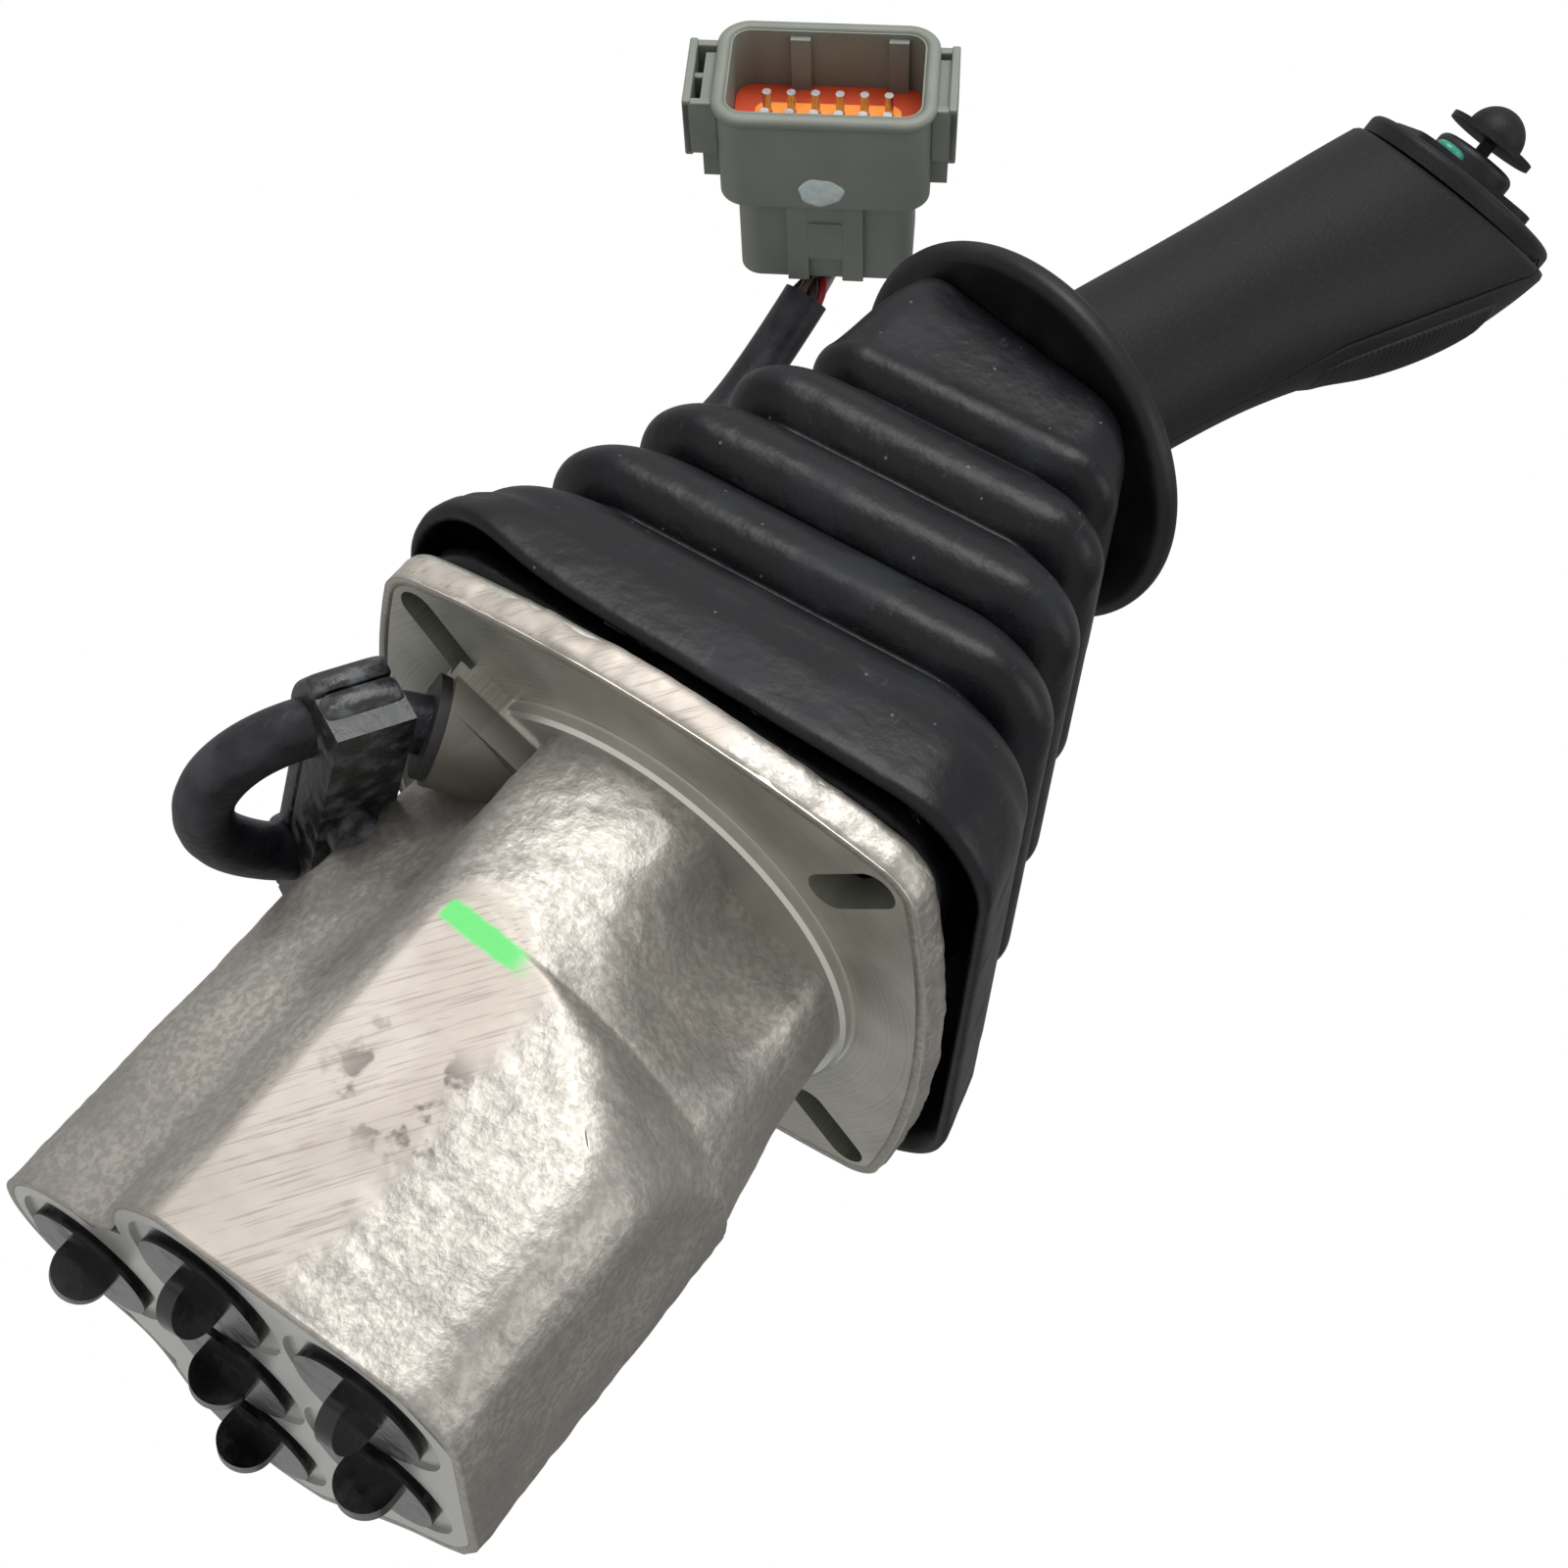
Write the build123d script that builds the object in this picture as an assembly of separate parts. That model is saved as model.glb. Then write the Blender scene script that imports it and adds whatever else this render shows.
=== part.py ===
"""Hydraulic pilot joystick valve: a cast valve block with four pilot sections, a rubber boot and a grip.

Millimetres, +Z up along the valve axis. The origin is the centre of the flange's machined underside.
"""
import math
import os

from build123d import *

# ---- flange and mounting ----
FLANGE_T = 6.0
FLANGE_SIDE = 49.3  # centre to the middle of a bowed side
FLANGE_END = 44.6  # centre to a side's end, beside the corner
FLANGE_CORNER = 39.6  # where a side meets its corner arc
FLANGE_TIP = 42.7  # corner arc's middle
SLOT_SPACING = 70.0
SLOT_R = 3.2
SLOT_L = 16.5
SPIGOT_R = 37.5
SPIGOT_H = 2.4
SPIGOT_CHAMFER = 0.6
EDGE_ROUND = 1.6
# ---- valve block ----
BODY_H = 89.5
PLUNGER_PCR = 24.8
LOBE_R = 15.0
CORE_R = 26.0
FRONT_Y = -39.4
SIDE_X = 40.6
BLOCK_CORNER_R = 10.0
BLOCK_SLOPE = 19.0  # x - y + z of the plane that slopes the tank boss into the lobes
NECK_R = 35.4  # the lobes stay inside this radius next to the flange
NECK_H = 34.0
NECK_FLARE = 8.0
TANK_XY = (25.4, -25.4)
PORT_R = 5.72
PORT_DEPTH = 14.0
SPOTFACE_R = 12.3
SPOTFACE_DEPTH = 0.8
SPOOL_BORE_R = 3.2
SPOOL_BORE_TOP = -44.0
SPRING_BORE_R = 7.2
GUIDE_BORE_R = 8.6
GUIDE_SEAT_Z = -16.0
GALLERY_R = 2.0
SUPPLY_GALLERY_Z = -66.0
TANK_GALLERY_Z = -50.0
TANK_CHAMBER_R = 3.4
RUN_GAP = 0.04  # radial running clearance
FIT_GAP = 0.05
# ---- port plugs ----
PLUG_HEAD_R = 9.8
PLUG_HEAD_T = 1.8
PLUG_STEM_R = 5.5
PLUG_STEM_L = 8.0
PLUG_WALL = 1.2
FIN_R = 4.2
FIN_T = 3.0
FIN_DROP = 5.5
FIN_TURNS = {"p1": 20, "p2": 68, "p3": 12, "p4": 74, "p5": 8, "p6": 2}
# ---- pilot sections ----
PLUNGER_R = 5.0
PLUNGER_ROUND = 3.0
PLUNGER_HEAD_R = 6.6
PLUNGER_HEAD_T = 3.0
PLUNGER_BOTTOM = -13.0
SWASH_GAP = 0.8
GUIDE_R = GUIDE_BORE_R - FIT_GAP
GUIDE_TOP = 9.6
SEAL_T = 2.2
PLATE_T = 3.0
PLATE_SIDE = 35.5
PLATE_CORNER = 22.0
SPOOL_R = SPOOL_BORE_R - RUN_GAP
SPOOL_BOTTOM = -71.0
SPOOL_TOP = -33.0
SPOOL_LAND = 5.0
SEAT_R = 6.8
SEAT_T = 2.0
WIRE_R = 0.8
RETURN_COIL_R = 6.0
CONTROL_COIL_R = 3.4
# ---- universal joint and swash plate ----
PIVOT_Z = 19.0
STUD_R = 5.0
STUD_BOTTOM = -14.0
BASE_R = 11.0
BASE_T = 3.5
EAR_IN = 6.2
EAR_T = 4.3
EAR_HALF = 4.0
PIN_R = 2.5
CROSS_HALF = 5.6
SWASH_H = 9.0  # pivot to the swash plate's lower face
SWASH_R = 31.5
SWASH_T = 5.0
# ---- lever ----
ROD_R = 5.0
NUT_AF = 19.0
NUT_H = 7.0
GUARD_CENTRE = (-3.5, -2.7, 103.7)
GUARD_NORMAL = (0.198, 0.097, 0.975)
GUARD_X = (0.8476, 0.4828, -0.2202)
GUARD_R = 33.9
GUARD_T = 5.0
GUARD_ROUND = 2.2
# ---- boot ----
BOOT_WALL = 2.2
BOOT_LEAN = (-0.045, -0.026)  # centre shift per millimetre of height
BOOT_SHIFT = (1.6, 0.2)
BOOT_FOOT = (8.2, 49.5, 16.0)  # height, half width, corner radius
BOOT_CRESTS = [(25.0, 46.2, 15.0), (40.6, 41.8, 13.5), (57.2, 37.2, 12.0), (74.6, 32.2, 10.5), (90.2, 26.8, 9.0)]
BOOT_GROOVE_DEPTH = 7.0
BOOT_GROOVE_RISE = 8.2  # crest to the groove above it
BOOT_NECK = (22.5, 7.0)  # half width, corner radius
BOOT_NECK_GAP = 0.6
BOOT_RAIL_HALF = 43.0
BOOT_RAIL_W = 2.5
BOOT_RAIL_CORNER = 12.0
BOOT_RAIL_TOP = 9.9
BOOT_FOOT_T = 2.0
# ---- grip, in the guard's own axes, heights from the guard's lower face ----
GRIP_SECTIONS = [
    (5.4, -15.8, 15.6, 14.5),  # height, front reach, rear reach, half width
    (28.0, -15.2, 16.5, 14.2),
    (52.0, -14.4, 19.0, 14.6),
    (66.0, -14.1, 21.9, 15.4),
    (78.0, -14.0, 25.8, 16.6),
    (95.0, -13.8, 29.0, 18.4),
    (112.0, -13.2, 29.6, 19.4),
    (134.0, -12.0, 28.0, 19.0),
    (152.0, -11.0, 26.0, 18.0),
]
GRIP_WALL = 2.6
GRIP_FLOOR = 4.0
GRIP_HOLLOW_TOP = 92.0
TOP_CENTRE = (7.5, 115.6)
TOP_SLOPE = 24.6  # rise towards the rear
TOP_LEAN = 39.3  # fall towards the -Y side
SEAM_X = 15.5  # where the rear cover meets the shell at the guard
SEAM_LEAN = 0.06
INSERT_LOW = 62.0
INSERT_HIGH = 104.0
INSERT_T = 1.4
INSERT_DEPTH = 1.5
CORE_OUT_R = 8.0
CORE_TOP = 62.0
ROD_TOP = 58.0
POST_Y = 6.0
POST_HEIGHT = 86.0
POST_R = 3.6
SCREW_R = 1.5
SCREW_L = 12.0
SCREW_SEAT = 0.8
SCREW_HEAD_R = 2.8
SCREW_HEAD_T = 1.2
TOP_PLATE_T = 3.7
TOP_PLATE_HALF = (26.4, 19.4)
TOP_PLATE_TURN = 46.7  # the slanted cut's long axis, from the plate's X
TOP_PLATE_ROUND = 1.4
STEP_T = 2.0
STEP_BOX = (-15.2, 11.4, 12.3)
DOME_R = 8.1
DOME_H = 3.8
DOME_AT = -1.2
DOME_ROUND = 1.6
STEM_R = 1.4
POCKET_R = 4.2
POCKET_FLOOR = 4.2
STEM_SOCKET = 3.6
THUMB_PIN_R = 1.0
THUMB_PIN_L = 12.0
BRIM_R = 8.8
BRIM_T = 1.2
BRIM_AT = 12.2  # brim's height over the plate's lower face
CAP_R = 5.7
CAP_H = 7.1
THUMB_PIVOT = 6.2
BUTTON_AT = (-8.8, -8.3)
BUTTON_R = 2.9
BUTTON_FLOOR = 1.2
BUTTON_H = 2.8
BUTTON_TRAVEL = 1.5
# ---- cable ----
CABLE_R = 4.4
CABLE_ROUTE = [
    (-30.0, -24.5, -7.0), (-36.5, -27.5, -11.0), (-43.5, -28.5, -19.0), (-49.0, -26.5, -27.5), (-52.5, -20.0, -33.5),
    (-52.5, -10.5, -34.5), (-49.0, -2.0, -29.0), (-46.5, 6.5, -20.0), (-49.8, 15.3, -9.5), (-56.9, 23.4, 3.0),
    (-62.5, 29.5, 19.0), (-66.0, 34.0, 39.0), (-67.0, 36.5, 62.0), (-66.5, 38.5, 84.0), (-65.5, 40.5, 104.0),
    (-66.2, 40.0, 121.5), (-65.5, 30.1, 137.1),
]
BOSS_R = 8.5
GROMMET_R = 6.6
GROMMET_L = 6.0
CLIP_FROM = (-40.0, -28.0, -15.0)
CLIP_TO = (-46.4, 6.8, -19.7)
CLIP_ALONG = (-0.36, -0.36, -0.85)
CLIP_W = 12.0
CLIP_WALL = 3.2
CLIP_T = 7.4
CLIP_SPLIT = 0.4
CLIP_SCREW_R = 2.0
CLIP_SCREW_L = 18.0
CLIP_FOOT_R = 4.5
GROMMET_LIP = 2.6
SEAT_CLEAR = 2.2  # room left under the mounting face outside the cable boss
# ---- connector ----
PLUG_CENTRE = (-69.2, 1.6, 147.1)
PLUG_X = (0.857, -0.0576, 0.5121)
PLUG_AXIS = (-0.0434, -0.9983, -0.0398)
SHELL_W = 38.0
SHELL_D = 24.4
SHELL_WALL = 1.8
SHELL_TOP = 17.0
SHELL_LOW = -3.8
REAR_W = 32.0
REAR_D = 19.4
REAR_LOW = -23.7
CAVITY_FLOOR = 3.0
CONTACT_PITCH = 4.4
CONTACT_R = 0.8
CONTACT_L = 7.0
CONTACT_ROW = 5.0
WIRE_OUT_R = 1.0
WIRES = 7
WIRE_GAP = 0.8
WIRE_HEAD_GAP = 1.8
WIRE_GATHER = 0.55
WIRE_RING_R = 2.7
WIRE_SLOTS = (0, 2, 4, 5, 7, 9, 11)
SHELL_CORNER = 5.0
WING_T = 2.8
WING_D = 13.0
WING_LOW = -2.0
WING_TOP = 15.0
KEY_AT = (-5.3, 12.4)
KEY_W = 3.6
SEAL_W = 26.0
SEAL_D = 11.0
REAR_SEAL_T = 3.8
WEDGE_W = 26.5
WEDGE_D = 9.5
WEDGE_T = 2.4
WEDGE_TAB_AT = 5.0

os.makedirs("parts", exist_ok=True)


def save(name, shape):
    shape.label = name
    export_step(shape, f"parts/{name}.step")


def cyl(radius, low, high, x=0.0, y=0.0):
    """A vertical cylinder between two heights."""
    return Pos(x, y, (low + high) / 2) * Cylinder(radius, high - low)


def box(x0, x1, y0, y1, z0, z1):
    return Pos((x0 + x1) / 2, (y0 + y1) / 2, (z0 + z1) / 2) * Box(x1 - x0, y1 - y0, z1 - z0)


def rod(start, end, radius):
    """A straight round bar between two points."""
    a = Vector(*start)
    b = Vector(*end)
    plane = Plane(origin=a, z_dir=b - a)
    return extrude(plane * Circle(radius), (b - a).length)


def slab(width, depth, corner, low, high):
    """A rounded rectangular slab between two heights."""
    return extrude(Plane.XY.offset(low) * RectangleRounded(width, depth, corner), high - low)


SECTIONS = {"p1": (-PLUNGER_PCR, 0), "p2": (0, -PLUNGER_PCR), "p6": (PLUNGER_PCR, 0), "p5": (0, PLUNGER_PCR)}
PORTS = {**SECTIONS, "p3": (0, 0), "p4": TANK_XY}

# ---- valve body: one casting with its flange ----
sides = []
for turn in range(4):
    side = ThreePointArc((-FLANGE_CORNER, -FLANGE_END), (0, -FLANGE_SIDE), (FLANGE_CORNER, -FLANGE_END))
    corner = ThreePointArc((FLANGE_CORNER, -FLANGE_END), (FLANGE_TIP, -FLANGE_TIP), (FLANGE_END, -FLANGE_CORNER))
    sides += [Rot(0, 0, 90 * turn) * side, Rot(0, 0, 90 * turn) * corner]
flange = extrude(make_face(Wire(sides)), FLANGE_T)
flange = fillet(flange.edges().group_by(Axis.Z)[-1], EDGE_ROUND)

lobes = cyl(CORE_R, -BODY_H, 0)
for x, y in SECTIONS.values():
    lobes += cyl(LOBE_R, -BODY_H, 0, x, y)
reach = PLUNGER_PCR + LOBE_R
web = extrude(
    Plane.XY.offset(-BODY_H)
    * make_face(
        Polyline((0, 0), (reach - 3, 0), (reach - 3, 9), (9, reach - 3), (0, reach - 3), (0, 0))
    ),
    BODY_H,
)
tank_block = Pos((SIDE_X - 3) / 2, (FRONT_Y + 3) / 2, -BODY_H) * extrude(
    RectangleRounded(SIDE_X + 3, 3 - FRONT_Y, BLOCK_CORNER_R), BODY_H
)
slope = Plane(origin=(0, 0, BLOCK_SLOPE), z_dir=(1, -1, 1))
tank_block = split(tank_block, bisect_by=slope, keep=Keep.BOTTOM)
neck = cyl(NECK_R, -NECK_H, 0) + cyl(NECK_R + LOBE_R, -BODY_H, -NECK_H - NECK_FLARE)
neck += Pos(0, 0, -NECK_H - NECK_FLARE / 2) * Cone(NECK_R + NECK_FLARE, NECK_R, NECK_FLARE)
body = (lobes + web + tank_block) & neck
body &= box(-60, SIDE_X, FRONT_Y, 60, -BODY_H, 0)
body += flange
body += chamfer(cyl(SPIGOT_R, -SPIGOT_H, 0).edges().group_by(Axis.Z)[0], SPIGOT_CHAMFER)
route = [Vector(*p) for p in CABLE_ROUTE]
inlet = (route[0] - route[1]).normalized()
boss_foot = route[0] + inlet * 14
boss_end = route[0] - inlet * 1.0
body += rod(boss_foot, boss_end, BOSS_R) & box(-60, 60, -60, 60, -BODY_H, FLANGE_T / 2)
boss_plan = Plane(origin=boss_end, x_dir=(inlet.X, inlet.Y, 0), z_dir=(0, 0, 1))
boss_sides = Rectangle(2 * BOSS_R, 2 * BOSS_R)
boss_block = extrude(boss_plan * Pos(BOSS_R / 2, 0) * boss_sides, FLANGE_T / 2 - boss_end.Z)
body += boss_block - extrude(Plane(origin=boss_end, z_dir=-inlet) * Rectangle(6 * BOSS_R, 6 * BOSS_R), 4 * BOSS_R)
rail = slab(2 * BOOT_RAIL_HALF, 2 * BOOT_RAIL_HALF, BOOT_RAIL_CORNER, FLANGE_T, BOOT_RAIL_TOP)
rail_in = BOOT_RAIL_HALF - BOOT_RAIL_W
rail -= slab(2 * rail_in, 2 * rail_in, BOOT_RAIL_CORNER - BOOT_RAIL_W, FLANGE_T, BOOT_RAIL_TOP)
body += rail

slot = Rot(0, 0, 45) * SlotOverall(SLOT_L, 2 * SLOT_R)
for turn in range(4):
    place = Rot(0, 0, 90 * turn) * Pos(SLOT_SPACING / 2, SLOT_SPACING / 2, -1)
    body -= extrude(place * slot, BOOT_RAIL_TOP + 2)
for x, y in PORTS.values():
    body -= cyl(SPOTFACE_R, -BODY_H - 1, -BODY_H + SPOTFACE_DEPTH, x, y)
    body -= cyl(PORT_R, -BODY_H, -BODY_H + PORT_DEPTH, x, y)
for x, y in SECTIONS.values():
    body -= cyl(SPOOL_BORE_R, -BODY_H, SPOOL_BOTTOM + 40, x, y)
    body -= cyl(SPRING_BORE_R, SPOOL_BORE_TOP, GUIDE_SEAT_Z + 1, x, y)
    body -= cyl(GUIDE_BORE_R, GUIDE_SEAT_Z, FLANGE_T + 1, x, y)
    body -= rod((0, 0, SUPPLY_GALLERY_Z), (x, y, SUPPLY_GALLERY_Z), GALLERY_R)
    body -= rod((0, 0, TANK_GALLERY_Z), (x, y, TANK_GALLERY_Z), GALLERY_R)
body -= cyl(PORT_R - 1.5, -BODY_H, SUPPLY_GALLERY_Z + 3)
body -= cyl(TANK_CHAMBER_R, TANK_GALLERY_Z - 3, TANK_GALLERY_Z + 3)
body -= cyl(PORT_R - 1.5, -BODY_H, TANK_GALLERY_Z + 3, *TANK_XY)
body -= rod((0, 0, TANK_GALLERY_Z), (*TANK_XY, TANK_GALLERY_Z), GALLERY_R)
body -= cyl(STUD_R, STUD_BOTTOM, FLANGE_T + 1)
grommet_end = route[0] + inlet * GROMMET_L
body -= rod(grommet_end, boss_end - inlet, GROMMET_R)
body -= rod(boss_foot + inlet * 2, boss_end, CABLE_R - 1)

# ---- transit plugs, one in each port ----
for name, (x, y) in PORTS.items():
    seat = -BODY_H + SPOTFACE_DEPTH
    plug = cyl(PLUG_HEAD_R, seat - PLUG_HEAD_T, seat)
    plug += cyl(PLUG_STEM_R, seat, seat + PLUG_STEM_L)
    plug -= cyl(PLUG_STEM_R - PLUG_WALL, seat + 1, seat + PLUG_STEM_L + 1)
    fin_centre = seat - PLUG_HEAD_T - FIN_DROP + FIN_R
    fin = Pos(0, 0, fin_centre) * (Rot(90, 0, 0) * Cylinder(FIN_R, FIN_T))
    fin &= box(-FIN_R, FIN_R, -FIN_T, FIN_T, fin_centre - FIN_R, fin_centre)
    plug += fin + box(-FIN_R, FIN_R, -FIN_T / 2, FIN_T / 2, fin_centre, seat - PLUG_HEAD_T / 2)
    save(f"port_plug_{name}", Pos(x, y, 0) * (Rot(0, 0, FIN_TURNS[name]) * plug))

def spring(radius, low, high, turns):
    """Rings on a thin strap, which stand for a compression spring's coils."""
    pitch = (high - low - 2 * WIRE_R) / (turns - 1)
    shape = box(radius - WIRE_R / 2, radius + WIRE_R / 2, -WIRE_R / 2, WIRE_R / 2, low + WIRE_R, high - WIRE_R)
    for turn in range(turns):
        shape += Pos(0, 0, low + WIRE_R + pitch * turn) * Torus(radius, WIRE_R)
    return shape


# ---- four pilot sections ----
SWASH_LOW = PIVOT_Z + SWASH_H
plunger_top = SWASH_LOW - SWASH_GAP
wipers = []
for number, (name, (x, y)) in enumerate(SECTIONS.items(), 1):
    here = Pos(x, y, 0)
    plunger = fillet(cyl(PLUNGER_R, PLUNGER_BOTTOM, plunger_top).edges().group_by(Axis.Z)[-1], PLUNGER_ROUND)
    plunger += cyl(PLUNGER_HEAD_R, PLUNGER_BOTTOM - PLUNGER_HEAD_T, PLUNGER_BOTTOM)
    plunger -= cyl(SPOOL_R + 0.3, PLUNGER_BOTTOM - 9, PLUNGER_BOTTOM + 3)
    save(f"plunger_{number}", here * plunger)

    guide = cyl(GUIDE_R, GUIDE_SEAT_Z + 10, GUIDE_TOP)
    guide -= cyl(PLUNGER_R + RUN_GAP, GUIDE_SEAT_Z, GUIDE_TOP + 1)
    guide -= cyl(PLUNGER_R + 1.6, GUIDE_TOP - SEAL_T, GUIDE_TOP + 1)
    save(f"plunger_guide_{number}", here * guide)

    wiper = cyl(PLUNGER_R + 1.6, GUIDE_TOP - SEAL_T, GUIDE_TOP) - cyl(PLUNGER_R + RUN_GAP, GUIDE_TOP - 9, GUIDE_TOP + 1)
    wipers.append(here * wiper)

    spool = cyl(SPOOL_R, SPOOL_BOTTOM, SPOOL_TOP) - (
        cyl(SPOOL_R + 1, SPOOL_BOTTOM + SPOOL_LAND, SUPPLY_GALLERY_Z + 5)
        - cyl(SPOOL_R - 1.2, SPOOL_BOTTOM, SUPPLY_GALLERY_Z + 9)
    )
    spool += cyl(SEAT_R - 2.2, SPOOL_TOP, SPOOL_TOP + 2.4)
    save(f"metering_spool_{number}", here * spool)

    save(f"return_spring_{number}", here * spring(RETURN_COIL_R, SPOOL_BORE_TOP, PLUNGER_BOTTOM - PLUNGER_HEAD_T - 0.1, 5))
    control_low = SPOOL_TOP + 2.5
    save(f"control_spring_{number}", here * spring(CONTROL_COIL_R, control_low, PLUNGER_BOTTOM - PLUNGER_HEAD_T - 0.1, 4))
save("wiper_seals", Compound(wipers))

# ---- retaining plate over the guides ----
plate = slab(2 * PLATE_SIDE, 2 * PLATE_SIDE, PLATE_CORNER, FLANGE_T, FLANGE_T + PLATE_T)
for x, y in SECTIONS.values():
    plate -= cyl(GUIDE_BORE_R, FLANGE_T - 1, FLANGE_T + PLATE_T + 1, x, y)
plate -= cyl(STUD_R + 0.3, FLANGE_T - 1, FLANGE_T + PLATE_T + 1)
save("retaining_plate", plate)

# ---- universal joint ----
BASE_LOW = FLANGE_T + PLATE_T
stud = cyl(STUD_R - FIT_GAP, STUD_BOTTOM + 1, BASE_LOW) + cyl(BASE_R, BASE_LOW, BASE_LOW + 1.2)
ears = box(EAR_IN, EAR_IN + EAR_T, -EAR_HALF, EAR_HALF, BASE_LOW, PIVOT_Z)
ears += Pos(EAR_IN + EAR_T / 2, 0, PIVOT_Z) * (Rot(0, 90, 0) * Cylinder(EAR_HALF, EAR_T))
lower_fork = stud + ears + Rot(0, 0, 180) * ears
lower_fork -= Pos(0, 0, PIVOT_Z) * (Rot(0, 90, 0) * Cylinder(PIN_R + RUN_GAP, 40))
save("joint_base_fork", lower_fork)
cross = Pos(0, 0, PIVOT_Z) * (
    Box(2 * CROSS_HALF, 2 * CROSS_HALF, 2 * EAR_HALF)
    + Rot(0, 90, 0) * Cylinder(PIN_R, 2 * (EAR_IN + EAR_T) - 0.6)
    + Rot(90, 0, 0) * Cylinder(PIN_R, 2 * (EAR_IN + EAR_T) - 0.6)
)
save("joint_cross", cross)
upper = box(-EAR_HALF, EAR_HALF, EAR_IN, EAR_IN + EAR_T, PIVOT_Z, SWASH_LOW)
upper += Pos(0, EAR_IN + EAR_T / 2, PIVOT_Z) * (Rot(90, 0, 0) * Cylinder(EAR_HALF, EAR_T))
upper += Rot(0, 0, 180) * upper
upper -= Pos(0, 0, PIVOT_Z) * (Rot(90, 0, 0) * Cylinder(PIN_R + RUN_GAP, 40))
swash = upper + cyl(SWASH_R, SWASH_LOW, SWASH_LOW + SWASH_T)
swash -= cyl(ROD_R, SWASH_LOW, SWASH_LOW + SWASH_T + 1)
save("swash_plate", swash)

# ---- lever, lock nut and hand guard ----
guard = Plane(origin=GUARD_CENTRE, x_dir=GUARD_X, z_dir=GUARD_NORMAL)
guard_up = Vector(*GUARD_NORMAL).normalized()
elbow = Vector(*GUARD_CENTRE) - guard_up * 12
rod_end = Vector(*GUARD_CENTRE) + guard_up * ROD_TOP
lever_path = FilletPolyline((0, 0, SWASH_LOW), (0, 0, 62), elbow, rod_end, radius=18)
lever = sweep(Plane.XY.offset(SWASH_LOW) * Circle(ROD_R - FIT_GAP), path=lever_path)
save("lever_rod", lever)
nut = extrude(Plane.XY.offset(SWASH_LOW + SWASH_T) * RegularPolygon(NUT_AF / 2, 6, major_radius=False), NUT_H)
nut -= cyl(ROD_R, SWASH_LOW, SWASH_LOW + 30)
save("lever_lock_nut", nut)
disc = fillet(Cylinder(GUARD_R, GUARD_T).edges(), GUARD_ROUND)
disc -= Cylinder(ROD_R + FIT_GAP, 3 * GUARD_T)
save("hand_guard_disc", guard.offset(GUARD_T / 2).location * disc)

# ---- rubber boot ----
def boot_loop(height, half, corner, inset=0.0):
    x = BOOT_SHIFT[0] + BOOT_LEAN[0] * height
    y = BOOT_SHIFT[1] + BOOT_LEAN[1] * height
    return Pos(x, y, height) * RectangleRounded(2 * (half - inset), 2 * (half - inset), corner - inset * 0.6)


neck_plane = Plane(origin=GUARD_CENTRE, x_dir=Vector(1, 0, 0).cross(guard_up).cross(guard_up) * -1, z_dir=GUARD_NORMAL)


def boot_stack(inset):
    low, half, corner = BOOT_FOOT
    loops = [boot_loop(low, half, corner, inset), boot_loop(BOOT_CRESTS[0][0] - 8, half - 1.0, corner, inset)]
    for height, half, corner in BOOT_CRESTS:
        loops.append(boot_loop(height - 2.2, half, corner, inset))
        loops.append(boot_loop(height + 2.2, half - 1.2, corner, inset))
        loops.append(boot_loop(height + BOOT_GROOVE_RISE, half - BOOT_GROOVE_DEPTH, corner - 2, inset))
    half, corner = BOOT_NECK
    loops.pop()
    loops.append(neck_plane.offset(-BOOT_NECK_GAP - inset) * RectangleRounded(2 * (half - inset), 2 * (half - inset), corner))
    return loft(loops, ruled=True)


boot = boot_stack(0.0) - (boot_stack(BOOT_WALL) + extrude(boot_loop(*BOOT_FOOT, BOOT_WALL), -5))
foot_ring = extrude(boot_loop(*BOOT_FOOT), BOOT_FOOT_T)
foot_ring -= slab(2 * BOOT_RAIL_HALF + 0.8, 2 * BOOT_RAIL_HALF + 0.8, BOOT_RAIL_CORNER + 0.4, 0, 40)
boot += foot_ring
boot -= guard.offset(-20).location * Cylinder(ROD_R + 0.4, 60)
save("rubber_boot", boot)

# ---- grip ----
def grip_loft(inset):
    loops = []
    for height, front, rear, half in GRIP_SECTIONS:
        reach = (rear - front) / 2 - inset
        loops.append(Pos((front + rear) / 2, 0, height) * Ellipse(reach, half - inset))
    return loft(loops)


def halfspace(x, z, normal_x, normal_z):
    """A big block beyond the plane through (x, z) that is parallel to Y."""
    plane = Plane(origin=(x, 0, z), x_dir=(0, 1, 0), z_dir=(normal_x, 0, normal_z))
    return extrude(plane * Rectangle(160, 400), 120)


slope = math.radians(TOP_SLOPE)
lean = math.radians(TOP_LEAN)
top_along = Vector(math.cos(slope), 0, math.sin(slope))
top_up = Vector(-math.sin(slope) * math.cos(lean), -math.sin(lean), math.cos(slope) * math.cos(lean))
top_middle = Vector(TOP_CENTRE[0], 0, TOP_CENTRE[1])
above_top = extrude(Plane(origin=top_middle, x_dir=top_along, z_dir=top_up) * Rectangle(200, 200), 120)
outer = grip_loft(0.0) - above_top
cavity = grip_loft(GRIP_WALL) & slab(90, 90, 5, GRIP_SECTIONS[0][0] + GRIP_FLOOR, GRIP_HOLLOW_TOP)
for side in (-1, 1):
    cavity -= Pos(SEAM_X / 2, side * POST_Y, POST_HEIGHT) * (Rot(0, 90, 0) * Cylinder(POST_R, 60))
grip_body = outer - cavity - cyl(CORE_OUT_R, 0, CORE_TOP)
rear_zone = halfspace(SEAM_X, 0, 1, -SEAM_LEAN)
insert_zone = slab(90, 60, 5, INSERT_LOW, INSERT_HIGH) & halfspace(SEAM_X + INSERT_DEPTH, 0, 1, -SEAM_LEAN)
under_insert = grip_loft(INSERT_T + FIT_GAP) - cavity - above_top
front_shell = grip_body - rear_zone
rear_cover = (grip_body & rear_zone) - insert_zone + (under_insert & insert_zone)
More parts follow.
